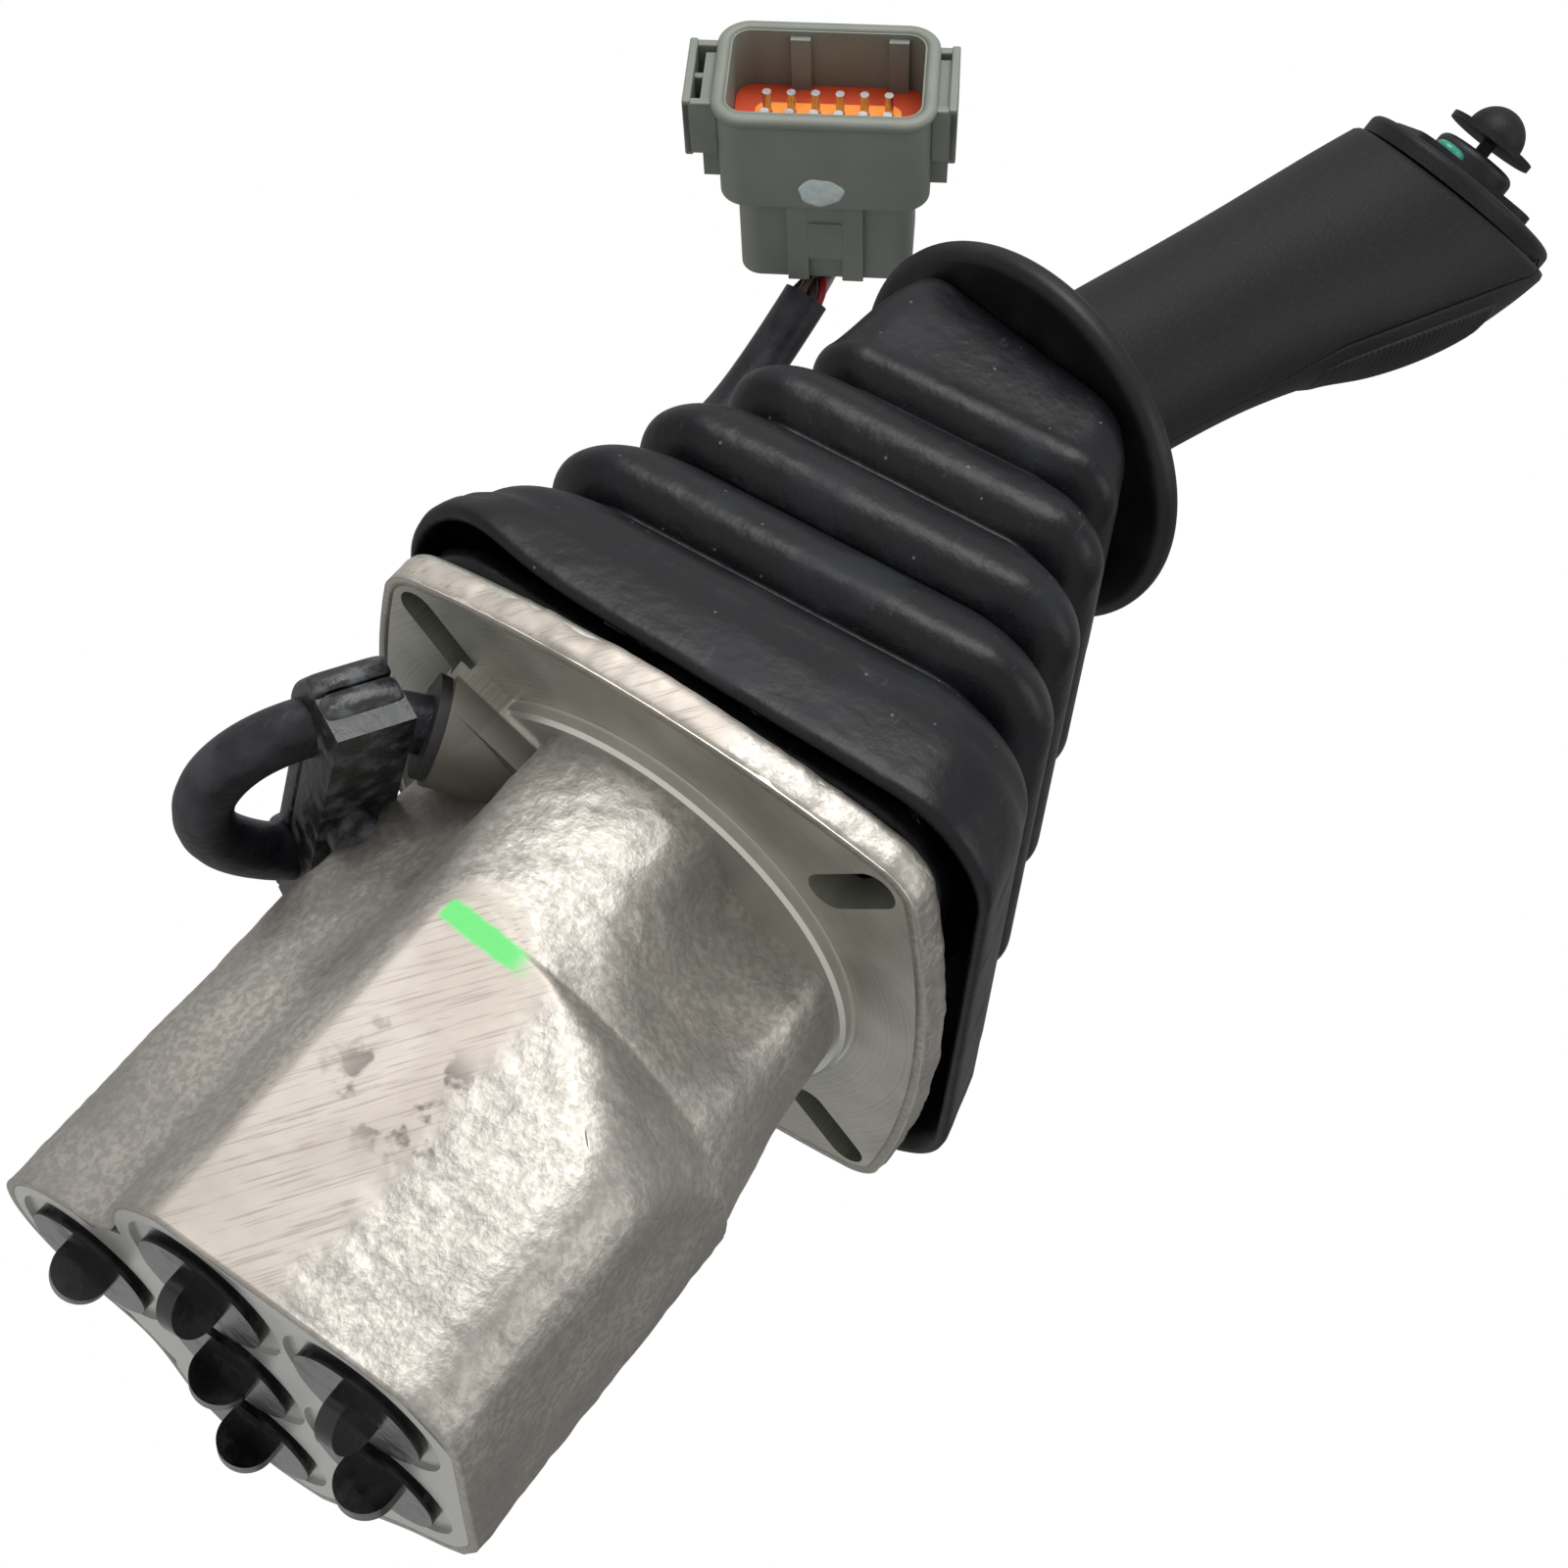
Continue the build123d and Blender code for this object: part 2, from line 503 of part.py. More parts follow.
insert = (outer - grip_loft(INSERT_T)) & insert_zone
screws = []
seam_at_post = SEAM_X + SEAM_LEAN * POST_HEIGHT
for side in (-1, 1):
    at = Pos(0, side * POST_Y, POST_HEIGHT)
    shank = at * rod((seam_at_post - SCREW_L, 0, 0), (seam_at_post + SCREW_SEAT, 0, 0), SCREW_R)
    head = at * rod((seam_at_post + SCREW_SEAT, 0, 0), (seam_at_post + SCREW_SEAT + SCREW_HEAD_T, 0, 0), SCREW_HEAD_R)
    head_room = at * rod((seam_at_post + SCREW_SEAT, 0, 0), (seam_at_post + 30, 0, 0), SCREW_HEAD_R + FIT_GAP)
    screws.append(shank + head)
    front_shell -= shank
    rear_cover -= shank + (head_room - insert)
grip_place = guard.location
save("grip_shell", grip_place * front_shell)
save("grip_rear_cover", grip_place * rear_cover)
save("grip_ribbed_insert", grip_place * insert)
save("grip_screws", grip_place * Compound(screws))
grip_core = cyl(CORE_OUT_R - FIT_GAP, GRIP_SECTIONS[0][0], CORE_TOP) - cyl(ROD_R, 0, ROD_TOP + 0.5)
save("grip_core", grip_place * grip_core)


# ---- top plate, thumb control and button, in the plate's own axes ----
def from_grip(direction):
    """A direction in the guard's axes, in the valve's axes."""
    return guard.from_local_coords(direction) - Vector(*GUARD_CENTRE)


top = Plane(
    origin=guard.from_local_coords(top_middle), x_dir=from_grip(top_along), z_dir=from_grip(top_up)
).location
top_plate = extrude(Rot(0, 0, TOP_PLATE_TURN) * Ellipse(*TOP_PLATE_HALF), TOP_PLATE_T)
top_plate = fillet(top_plate.edges().group_by(Axis.Z)[-1], TOP_PLATE_ROUND)
top_plate -= cyl(BUTTON_R + RUN_GAP, BUTTON_FLOOR, TOP_PLATE_T + 1, *BUTTON_AT)
save("grip_top_plate", top * top_plate)
STEP_TOP = TOP_PLATE_T + STEP_T
front, rear, half = STEP_BOX
base = Pos((front + rear) / 2, 0, 0) * slab(rear - front, 2 * half, 5, TOP_PLATE_T, STEP_TOP)
dome = fillet(cyl(DOME_R, STEP_TOP, STEP_TOP + DOME_H).edges().group_by(Axis.Z)[-1], DOME_ROUND)
base += Pos(DOME_AT, 0, 0) * dome
base -= cyl(POCKET_R, POCKET_FLOOR, STEP_TOP + DOME_H + 1, DOME_AT)
base -= Pos(DOME_AT, 0, THUMB_PIVOT) * (Rot(90, 0, 0) * Cylinder(THUMB_PIN_R + RUN_GAP, THUMB_PIN_L + 1))
base -= cyl(BUTTON_R + RUN_GAP, TOP_PLATE_T, STEP_TOP + 1, *BUTTON_AT)
save("switch_base", top * base)
stem = cyl(STEM_R, THUMB_PIVOT - STEM_R, BRIM_AT + STEM_SOCKET, DOME_AT)
stem += Pos(DOME_AT, 0, THUMB_PIVOT) * (Rot(90, 0, 0) * Cylinder(THUMB_PIN_R, THUMB_PIN_L))
save("thumb_stem", top * stem)
cap = cyl(BRIM_R, BRIM_AT, BRIM_AT + BRIM_T) + cyl(CAP_R, BRIM_AT, BRIM_AT + CAP_H - CAP_R)
cap = Pos(DOME_AT, 0, 0) * (cap + Pos(0, 0, BRIM_AT + CAP_H - CAP_R) * Sphere(CAP_R))
cap &= box(-40, 40, -40, 40, BRIM_AT, BRIM_AT + 2 * CAP_H)
cap -= cyl(STEM_R, 0, BRIM_AT + STEM_SOCKET, DOME_AT)
save("thumb_cap", top * cap)
button_low = BUTTON_FLOOR + BUTTON_TRAVEL + FIT_GAP
button = fillet(cyl(BUTTON_R, button_low, STEP_TOP + BUTTON_H, *BUTTON_AT).edges().group_by(Axis.Z)[-1], 0.8)
save("grip_button", top * button)

# ---- cable, its grommet and its clip ----
radii = []
for before, corner, after in zip(route, route[1:], route[2:]):
    run = min((corner - before).length, (after - corner).length)
    turn = math.radians((corner - before).get_angle(after - corner))
    radii.append(0.45 * run / math.tan(turn / 2))
cable_path = FilletPolyline(*route, radius=radii)
cable = sweep(Plane(origin=route[0], z_dir=route[1] - route[0]) * Circle(CABLE_R), path=cable_path)
print("cable length", round(cable_path.length, 1), "radii", [round(r) for r in radii])
save("cable", cable)
lip = rod(boss_end, route[0] - inlet * GROMMET_LIP, GROMMET_R + 1.2)
grommet = rod(grommet_end, boss_end, GROMMET_R - FIT_GAP) + (lip & box(-60, 60, -60, 60, -60, -SEAT_CLEAR))
grommet -= rod(route[0], route[0] - inlet * 20, CABLE_R)
grommet -= rod(grommet_end + inlet, route[0], CABLE_R - 1)
save("cable_grommet", grommet)

clip_mid = (Vector(*CLIP_FROM) + Vector(*CLIP_TO)) / 2
clip_long = (Vector(*CLIP_TO) - Vector(*CLIP_FROM))
clip_out = clip_long.cross(Vector(*CLIP_ALONG)).normalized()
clip = Plane(origin=clip_mid, x_dir=clip_long, z_dir=clip_out).location
clip_l = clip_long.length + 2 * (CABLE_R + CLIP_WALL)
clip_inner = clip * (Pos(0, 0, -CLIP_T / 2) * Box(clip_l, CLIP_W, CLIP_T))
clip_outer = clip * (Pos(0, 0, (CLIP_T + CLIP_SPLIT) / 2) * Box(clip_l, CLIP_W, CLIP_T - CLIP_SPLIT))
tube = sweep(Plane(origin=route[0], z_dir=route[1] - route[0]) * Circle(CABLE_R + FIT_GAP), path=cable_path)
screw_in = clip_mid - clip_out * CLIP_SCREW_L
screw_out = clip_mid + clip_out * CLIP_T
clip_foot = rod(clip_mid - clip_out * (CLIP_T - 1), screw_in, CLIP_FOOT_R) - body
clip_foot = max(clip_foot.solids(), key=lambda piece: (piece.center() - Vector(0, 0, 0)).length)
clip_screw = rod(screw_in + clip_out, screw_out, CLIP_SCREW_R)
save("cable_clip_base", (clip_inner + clip_foot) - tube - clip_screw - body)
save("cable_clip_strap", clip_outer - tube - clip_screw)
clip_screw += rod(screw_out, screw_out + clip_out * 3, CLIP_SCREW_R + 2)
save("cable_clip_screw", clip_screw)
body -= rod(screw_in, screw_out, CLIP_SCREW_R)
save("valve_body", body)

# ---- connector on the cable's end ----
plug = Plane(origin=PLUG_CENTRE, x_dir=PLUG_X, z_dir=PLUG_AXIS)
plug_place = plug.location
inner_w = SHELL_W - 2 * SHELL_WALL
inner_d = SHELL_D - 2 * SHELL_WALL
housing = slab(SHELL_W, SHELL_D, SHELL_CORNER, SHELL_LOW, SHELL_TOP)
housing += slab(REAR_W, REAR_D, SHELL_CORNER - 1, REAR_LOW, SHELL_LOW)
housing -= slab(inner_w, inner_d, SHELL_CORNER - SHELL_WALL, CAVITY_FLOOR, SHELL_TOP + 1)
housing -= slab(SEAL_W, SEAL_D, 3, REAR_LOW - 1, REAR_LOW + REAR_SEAL_T)
for side in (-1, 1):
    wing_x = side * (SHELL_W + WING_T) / 2
    housing += Pos(wing_x, 0, (WING_LOW + WING_TOP) / 2) * Box(WING_T + 0.4, WING_D, WING_TOP - WING_LOW)
for x in KEY_AT:
    housing += box(x - KEY_W / 2, x + KEY_W / 2, inner_d / 2 - 1.2, inner_d / 2 + 0.5, CAVITY_FLOOR, SHELL_TOP - 1)
grid = [
    (CONTACT_PITCH * (column - 2.5), CONTACT_ROW / 2 * side) for side in (-1, 1) for column in range(6)
]
contacts = []
wires = []
wedge = slab(WEDGE_W, WEDGE_D, 2, CAVITY_FLOOR, CAVITY_FLOOR + WEDGE_T)
wedge += box(WEDGE_TAB_AT - 1.8, WEDGE_TAB_AT + 1.8, -WEDGE_D / 2, -WEDGE_D / 2 + 2, CAVITY_FLOOR, CAVITY_FLOOR + 6.5)
rear_seal = slab(SEAL_W - 0.1, SEAL_D - 0.1, 2.9, REAR_LOW, REAR_LOW + REAR_SEAL_T)
for x, y in grid:
    housing -= cyl(CONTACT_R, REAR_LOW, CAVITY_FLOOR + 1, x, y)
    wedge -= cyl(CONTACT_R + 0.1, 0, CAVITY_FLOOR + 12, x, y)
    contacts.append(cyl(CONTACT_R, REAR_LOW + REAR_SEAL_T, CAVITY_FLOOR + CONTACT_L, x, y))
jacket_end = Plane(origin=route[-1] + (route[-1] - route[-2]).normalized() * WIRE_GAP, z_dir=route[-1] - route[-2])
for number in range(WIRES):
    angle = 2 * math.pi * number / WIRES
    x, y = grid[WIRE_SLOTS[number]]
    foot = jacket_end.from_local_coords(Vector(WIRE_RING_R * math.cos(angle), WIRE_RING_R * math.sin(angle), 0))
    head = plug.from_local_coords(Vector(x * WIRE_GATHER, y * WIRE_GATHER, REAR_LOW - WIRE_HEAD_GAP))
    wires.append(rod(head, foot, WIRE_OUT_R))
save("connector_housing", plug_place * housing)
face_seal = slab(inner_w - 0.2, inner_d - 0.2, SHELL_CORNER - SHELL_WALL, CAVITY_FLOOR, CAVITY_FLOOR + 1.6)
face_seal -= slab(WEDGE_W + 0.2, WEDGE_D + 0.2, 2.1, 0, CAVITY_FLOOR + 3)
for x in KEY_AT:
    face_seal -= box(x - KEY_W / 2, x + KEY_W / 2, inner_d / 2 - 1.3, inner_d, CAVITY_FLOOR, SHELL_TOP)
save("connector_face_seal", plug_place * face_seal)
save("connector_wedge_lock", plug_place * wedge)
save("connector_contacts", plug_place * Compound(contacts))
save("connector_rear_seal", plug_place * rear_seal)
save("cable_wires", Compound(wires))
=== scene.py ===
"""Hydraulic pilot joystick valve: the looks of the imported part, from the valve block up to the grip."""

import math

import bpy
import numpy as np
from mathutils import Matrix, Vector


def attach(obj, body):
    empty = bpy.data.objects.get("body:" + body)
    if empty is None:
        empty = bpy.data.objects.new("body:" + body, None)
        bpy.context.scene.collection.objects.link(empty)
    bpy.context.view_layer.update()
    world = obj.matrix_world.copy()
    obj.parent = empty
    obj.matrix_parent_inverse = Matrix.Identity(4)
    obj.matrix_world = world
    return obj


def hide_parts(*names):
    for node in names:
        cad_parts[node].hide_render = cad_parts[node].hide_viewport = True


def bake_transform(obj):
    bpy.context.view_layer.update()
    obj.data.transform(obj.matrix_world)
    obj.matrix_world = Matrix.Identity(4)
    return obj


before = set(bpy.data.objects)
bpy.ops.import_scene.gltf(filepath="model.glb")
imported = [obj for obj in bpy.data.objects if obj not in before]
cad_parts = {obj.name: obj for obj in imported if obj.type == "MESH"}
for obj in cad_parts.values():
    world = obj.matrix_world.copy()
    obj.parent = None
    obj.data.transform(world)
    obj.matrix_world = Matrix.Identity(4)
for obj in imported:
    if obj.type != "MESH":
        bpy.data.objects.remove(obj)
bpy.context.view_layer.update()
MM = 0.001


# ---- camera and light ----
# The camera stands low on the valve's end and looks up along the lever. The three lamps are large and soft: one over
# the lever's upper side, one to its right and one beside the camera. The world is white where the camera sees it,
# and elsewhere it falls off downwards.
CAMERA_AT = (0.123688, -0.332308, -0.156786)
CAMERA_RIGHT = Vector((0.81498, -0.03207, 0.5786))
CAMERA_UP = Vector((-0.49775, -0.55004, 0.6706))
CAMERA_BACK = Vector((0.29674, -0.83453, -0.46423))
lens = bpy.data.cameras.new("camera")
lens.sensor_width = 36
lens.lens = 60.256
camera = bpy.data.objects.new("camera", lens)
turn = Matrix((CAMERA_RIGHT, CAMERA_UP, CAMERA_BACK)).transposed().to_4x4()
camera.matrix_world = Matrix.Translation(CAMERA_AT) @ turn
bpy.context.scene.collection.objects.link(camera)
bpy.context.scene.camera = camera
bpy.context.scene.view_settings.view_transform = "Standard"

AIM = Vector((0.0, 0.0, 0.06))
WORLD_DIM = 0.12
WORLD_BRIGHT = 0.8


def lamp(name, offset, width, watts):
    """A square area lamp at AIM + offset, turned to face AIM."""
    light = bpy.data.lights.new(name, "AREA")
    light.size = width
    light.energy = watts
    made = bpy.data.objects.new(name, light)
    made.location = AIM + offset
    made.rotation_euler = (-offset).to_track_quat("-Z", "Y").to_euler()
    bpy.context.scene.collection.objects.link(made)


lamp("key_lamp", CAMERA_UP * 0.62 + CAMERA_BACK * 0.42 + CAMERA_RIGHT * 0.12, 0.42, 5.4)
lamp("side_lamp", CAMERA_RIGHT * 0.75 + CAMERA_BACK * 0.3 - CAMERA_UP * 0.1, 0.5, 2.2)
lamp("front_lamp", CAMERA_BACK * 0.8 - CAMERA_RIGHT * 0.45 - CAMERA_UP * 0.25, 0.6, 1.3)


class Reading:
    """One output of a material's node. Arithmetic on it adds Math nodes."""

    def __init__(self, finish, socket):
        self.finish = finish
        self.socket = socket

    def out(self, name):
        return Reading(self.finish, self.socket.node.outputs[name])

    def __add__(self, other):
        return self.finish.math("ADD", self, other)

    def __sub__(self, other):
        return self.finish.math("SUBTRACT", self, other)

    def __rsub__(self, other):
        return self.finish.math("SUBTRACT", other, self)

    def __mul__(self, other):
        return self.finish.math("MULTIPLY", self, other)

    __radd__ = __add__
    __rmul__ = __mul__


class Finish:
    """A material on object coordinates, whose nodes are added one call at a time."""

    def __init__(self, name):
        self.material = bpy.data.materials.new(name)
        self.material.use_nodes = True
        self.tree = self.material.node_tree
        self.shader = self.tree.nodes["Principled BSDF"]
        self.place = self.node("ShaderNodeTexCoord").out("Object")
        self.axes = self.node("ShaderNodeSeparateXYZ", {}, {0: self.place})

    def feed(self, socket, value):
        if isinstance(value, Reading):
            self.tree.links.new(value.socket, socket)
        else:
            socket.default_value = value

    def node(self, kind, settings=(), values=(), output=0):
        """Adds a node: its settings first, a ramp's stops among them, then its sockets' values or links."""
        made = self.tree.nodes.new(kind)
        for name, value in dict(settings).items():
            if name == "stops":
                for element, (position, colour) in zip(made.color_ramp.elements, value):
                    element.position = position
                    element.color = colour
            else:
                setattr(made, name, value)
        for name, value in dict(values).items():
            self.feed(made.inputs[name], value)
        return Reading(self, made.outputs[output])

    def math(self, operation, *values):
        return self.node("ShaderNodeMath", {"operation": operation}, dict(enumerate(values)))

    def step(self, value, low, high):
        """0 below low and 1 above high, eased between them."""
        names = {"Value": value, "From Min": low, "From Max": high}
        return self.node("ShaderNodeMapRange", {"interpolation_type": "SMOOTHSTEP"}, names)

    def mix(self, share, first, second):
        """The first colour at share 0 and the second at 1."""
        return self.node("ShaderNodeMix", {"data_type": "RGBA"}, {0: share, 6: first, 7: second}, 2)

    def noise(self, size, detail=2.0, stretch=(1, 1, 1), turned=(0, 0, 0)):
        """Noise whose features are about that many millimetres across, drawn out along an axis by stretch."""
        scale = tuple(1 / s for s in stretch)
        spot = self.node("ShaderNodeMapping", {}, {0: self.place, "Rotation": turned})
        spot = self.node("ShaderNodeMapping", {}, {0: spot, "Scale": scale})
        return self.node("ShaderNodeTexNoise", {}, {"Vector": spot, "Scale": 1000 / size, "Detail": detail})

    def pits(self, size):
        """Distance from scattered points about that many millimetres apart."""
        return self.node("ShaderNodeTexVoronoi", {}, {"Vector": self.place, "Scale": 1000 / size})

    def bump(self, height, depth, over=None):
        """A bump whose full height is depth millimetres, on top of an earlier bump."""
        values = {"Height": height, "Distance": depth * MM, "Strength": 1.0}
        if over is not None:
            values["Normal"] = over
        return self.node("ShaderNodeBump", {}, values)

    def done(self, colour, roughness, normal=None, metallic=0.0, specular=0.5):
        """Feeds the shader and gives the material."""
        values = {
            "Base Color": colour, "Roughness": roughness, "Metallic": metallic, "Specular IOR Level": specular,
        }
        if normal is not None:
            values["Normal"] = normal
        for name, value in values.items():
            self.feed(self.shader.inputs[name], value)
        return self.material


def paint(red, green, blue):
    """A screen colour, 0 to 255, as linear light."""
    return tuple((c / 255) ** 2.2 for c in (red, green, blue)) + (1.0,)


def toned(name, size, detail, dark, light, smoothest, spread, metallic=0.0, stretch=(1, 1, 1)):
    """A material with one noise, which takes its colour from dark to light and adds up to spread to its roughness."""
    finish = Finish(name)
    tone = finish.noise(size, detail, stretch)
    colour = finish.mix(tone, paint(*dark), paint(*light))
    return finish.done(colour, smoothest + spread * tone, metallic=metallic)


world = bpy.data.worlds.new("studio")
world.use_nodes = True
bpy.context.scene.world = world
sky = world.node_tree
seen = sky.nodes.new("ShaderNodeLightPath")
direction = sky.nodes.new("ShaderNodeTexCoord")
lean = sky.nodes.new("ShaderNodeVectorMath")
lean.operation = "DOT_PRODUCT"
lean.inputs[1].default_value = (CAMERA_UP + CAMERA_BACK * 0.35).normalized()
sky.links.new(direction.outputs["Generated"], lean.inputs[0])
fall = sky.nodes.new("ShaderNodeMapRange")
for socket, value in (("From Min", -1.0), ("From Max", 0.9), ("To Min", WORLD_DIM), ("To Max", WORLD_BRIGHT)):
    fall.inputs[socket].default_value = value
sky.links.new(lean.outputs["Value"], fall.inputs["Value"])
level = sky.nodes.new("ShaderNodeMix")
level.inputs[3].default_value = 1.0
sky.links.new(seen.outputs["Is Camera Ray"], level.inputs[0])
sky.links.new(fall.outputs[0], level.inputs[2])
sky.links.new(level.outputs[0], sky.nodes["Background"].inputs["Strength"])
sky.nodes["Background"].inputs["Color"].default_value = (1.0, 1.0, 1.0, 1.0)

# The floor lies below the camera, so that it never stands between the camera and the valve.
FLOOR_Z = -0.24
FLOOR_HALF = 2.5
floor_mesh = bpy.data.meshes.new("floor")
floor_mesh.from_pydata(
    [(x * FLOOR_HALF, y * FLOOR_HALF, FLOOR_Z) for x, y in ((-1, -1), (1, -1), (1, 1), (-1, 1))], [], [(0, 1, 2, 3)]
)
floor = bpy.data.objects.new("floor", floor_mesh)
bpy.context.scene.collection.objects.link(floor)
pale = Finish("pale_floor")
floor_mesh.materials.append(pale.done(paint(225, 225, 224), 0.8))


# ---- cable ----
# A round moulded cable, 8.8 mm thick and fairly stiff. It leaves a grommet in the block's side, turns through the
# clip in one tight loop, and climbs behind the boot to its connector.
CABLE_R = 4.4
CABLE_ROUTE = [
    (-30.0, -24.5, -7.0), (-36.5, -27.5, -11.0), (-43.5, -28.5, -19.0), (-49.0, -26.5, -27.5),
    (-52.5, -20.0, -33.5), (-52.5, -10.5, -34.5), (-49.0, -2.0, -29.0), (-46.5, 6.5, -20.0),
    (-49.8, 15.3, -9.5), (-56.9, 23.4, 3.0), (-62.5, 29.5, 19.0), (-66.0, 34.0, 39.0), (-67.0, 36.5, 62.0),
    (-66.5, 38.5, 84.0), (-65.5, 40.5, 104.0), (-66.2, 40.0, 121.5), (-65.5, 30.1, 137.1),
]


def strand(name, points, radius, finish, body):
    """A round strand on a smooth curve that these points, in millimetres, control."""
    curve = bpy.data.curves.new(name, "CURVE")
    curve.dimensions = "3D"
    line = curve.splines.new("NURBS")
    line.points.add(len(points) - 1)
    homogeneous = np.ones((len(points), 4))
    homogeneous[:, :3] = np.array(points) * MM
    line.points.foreach_set("co", homogeneous.ravel())
    line.order_u = 3
    line.use_endpoint_u = True
    line.resolution_u = 14
    curve.bevel_depth = radius * MM
    curve.bevel_resolution = 7
    curve.use_fill_caps = True
    curve.materials.append(finish)
    made = bpy.data.objects.new(name, curve)
    bpy.context.scene.collection.objects.link(made)
    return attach(made, body)


jacket = Finish("cable_jacket")
dust = jacket.noise(9, 4)
folds = jacket.noise(2.2, 3, stretch=(1, 1, 2.5))
cable_cover = jacket.done(
    jacket.mix(jacket.step(dust, 0.42, 0.75), paint(22, 23, 28), paint(52, 52, 58)),
    0.36 + 0.2 * dust,
    jacket.bump(folds, 0.35, jacket.bump(jacket.noise(0.35, 2), 0.03)),
    specular=0.35,
)
cable = strand("cable_run", CABLE_ROUTE, CABLE_R, cable_cover, "base")
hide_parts("cable")

# ---- wires ----
# Seven thin wires leave the cut jacket and fan out into the connector's rear seal.
WIRE_R = 0.95
WIRE_FAN = 2.6  # radius of the circle on which the wires leave the jacket
WIRE_END = 22.5  # how far behind the connector's origin they enter its rear seal
PLUG_AT = np.array((-69.2, 1.6, 147.1))
PLUG_X = np.array((0.857, -0.0576, 0.5121))
PLUG_Z = np.array((-0.0434, -0.9983, -0.0398))
PLUG_Z /= np.linalg.norm(PLUG_Z)
PLUG_X -= PLUG_Z * (PLUG_X @ PLUG_Z)
PLUG_X /= np.linalg.norm(PLUG_X)
PLUG_Y = np.cross(PLUG_Z, PLUG_X)
PLUG_AXES = np.array((PLUG_X, PLUG_Y, PLUG_Z))
WIRE_COLOURS = {
    "black_a": ((22, 22, 24), -9.5, -1.6),
    "red_a": ((176, 40, 44), -4.0, -1.8),
    "white": ((205, 196, 196), 1.6, -2.0),
    "violet": ((84, 70, 112), 4.6, 0.6),
    "red_b": ((170, 34, 40), 2.6, 1.8),
    "black_b": ((26, 26, 28), 9.5, -0.8),
    "brown": ((84, 54, 40), -3.0, 2.2),
}
route = np.array(CABLE_ROUTE)
leaving = (route[-1] - route[-2]) / np.linalg.norm(route[-1] - route[-2])
side_a = np.cross(leaving, (0, 0, 1))
side_a /= np.linalg.norm(side_a)
side_b = np.cross(leaving, side_a)
wires = []
for number, (name, (shade, across, deep)) in enumerate(WIRE_COLOURS.items()):
    around = 2 * math.pi * number / len(WIRE_COLOURS) + 2.4
    start = route[-1] + WIRE_FAN * (math.cos(around) * side_a + math.sin(around) * side_b) - 3 * leaving
    end = PLUG_AT + across * PLUG_X + deep * PLUG_Y - WIRE_END * PLUG_Z
    points = [start, start + 7 * leaving, end - 5.5 * PLUG_Z, end]
    cover = Finish(f"wire_{name}")
    tone = cover.noise(3)
    skin = cover.done(cover.mix(tone, paint(*shade), paint(*[c * 0.8 for c in shade])), 0.38)
    wire = strand(f"wire_{name}", points, WIRE_R, skin, "base")
    wires.append(wire)
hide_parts("cable_wires")


# ---- valve block ----
# One rough casting: four round spool lobes and a tank boss, blended by the mould's fillets and skinned with sand
# texture. The ports' end, the spigot and the flange's underside are machined and are the solid's own faces.
SKIN = 0.45  # the casting's skin stands this far out of the solid
BODY_H = 89.5
LOBE_R = 15.0
CORE_R = 26.0
LOBE_AT = 24.8
FRONT_Y = -39.4
SIDE_X = 40.6
WEB_SIDE = 36.8
WEB_DIAGONAL = 45.8
BOSS_AT = (18.8, -18.2)
BOSS_HALF = (11.8, 11.2)
BOSS_ROUND = 10.0
SHOULDER_AT = 22.9
NECK_R = 35.4
NECK_FLARE = 4.6
NECK_LOW = -35.0  # below this height the neck opens at 45 degrees
VALLEY = 7.0  # reach of a valley's fillet
EDGE = 1.5
SKIN_TOP = -1.9
SKIN_T = 1.4
AROUND = 384
STEPS_UP = 190
SEARCH_FROM = 58.0
SEARCH_STEP = 0.6


def join(a, b, reach):
    """Union of two distances: where they differ by less than reach, the smaller one is lowered by a parabola."""
    near = np.maximum(reach - np.abs(a - b), 0) / reach
    return np.minimum(a, b) - near * near * reach / 4


def cut(a, b, reach):
    """Intersection of two distances, with its edge rounded in the same way."""
    return -join(-a, -b, reach)


def block_distance(x, y, z):
    """How far a point is outside the block: lobes round a core, a web and a boss, cut by flats and the neck."""
    whole = np.hypot(x, y) - CORE_R
    for lobe_x, lobe_y in ((-LOBE_AT, 0), (0, -LOBE_AT), (LOBE_AT, 0), (0, LOBE_AT)):
        whole = join(whole, np.hypot(x - lobe_x, y - lobe_y) - LOBE_R, VALLEY)
    web = np.maximum.reduce([x - WEB_SIDE, y - WEB_SIDE, (x + y - WEB_DIAGONAL) / math.sqrt(2), -x, -y])
    whole = join(whole, web, 4)
    over_x = np.abs(x - BOSS_AT[0]) - BOSS_HALF[0]
    over_y = np.abs(y - BOSS_AT[1]) - BOSS_HALF[1]
    outside = np.hypot(np.maximum(over_x, 0), np.maximum(over_y, 0))
    boss = outside + np.minimum(np.maximum(over_x, over_y), 0) - BOSS_ROUND
    shoulder = (x - y + z - SHOULDER_AT) / math.sqrt(3)
    whole = join(whole, cut(boss, shoulder, 5), 9)
    neck = NECK_R + NECK_FLARE * np.clip((-z - 5) / 30, 0, 2) ** 1.6 + np.clip(NECK_LOW - z, 0, 14)
    whole = cut(whole, (np.hypot(x, y) - neck) / np.where(z < NECK_LOW, math.sqrt(2), 1), EDGE)
    return np.maximum.reduce([whole, FRONT_Y - y, x - SIDE_X]) - SKIN


def lumps(points, size, seed):
    """Smooth noise from -1 to 1: random values on a lattice of that many millimetres, eased between neighbours."""
    table = np.random.default_rng(seed).uniform(-1, 1, (48, 48, 48))
    spot = points / size
    base = np.floor(spot).astype(int)
    share = spot - base
    share = share * share * (3 - 2 * share)
    total = np.zeros(points.shape[:-1])
    for corner in np.ndindex(2, 2, 2):
        pick = (base + np.array(corner)) % 48
        weight = np.prod(np.where(corner, share, 1 - share), axis=-1)
        total += weight * table[pick[..., 0], pick[..., 1], pick[..., 2]]
    return total


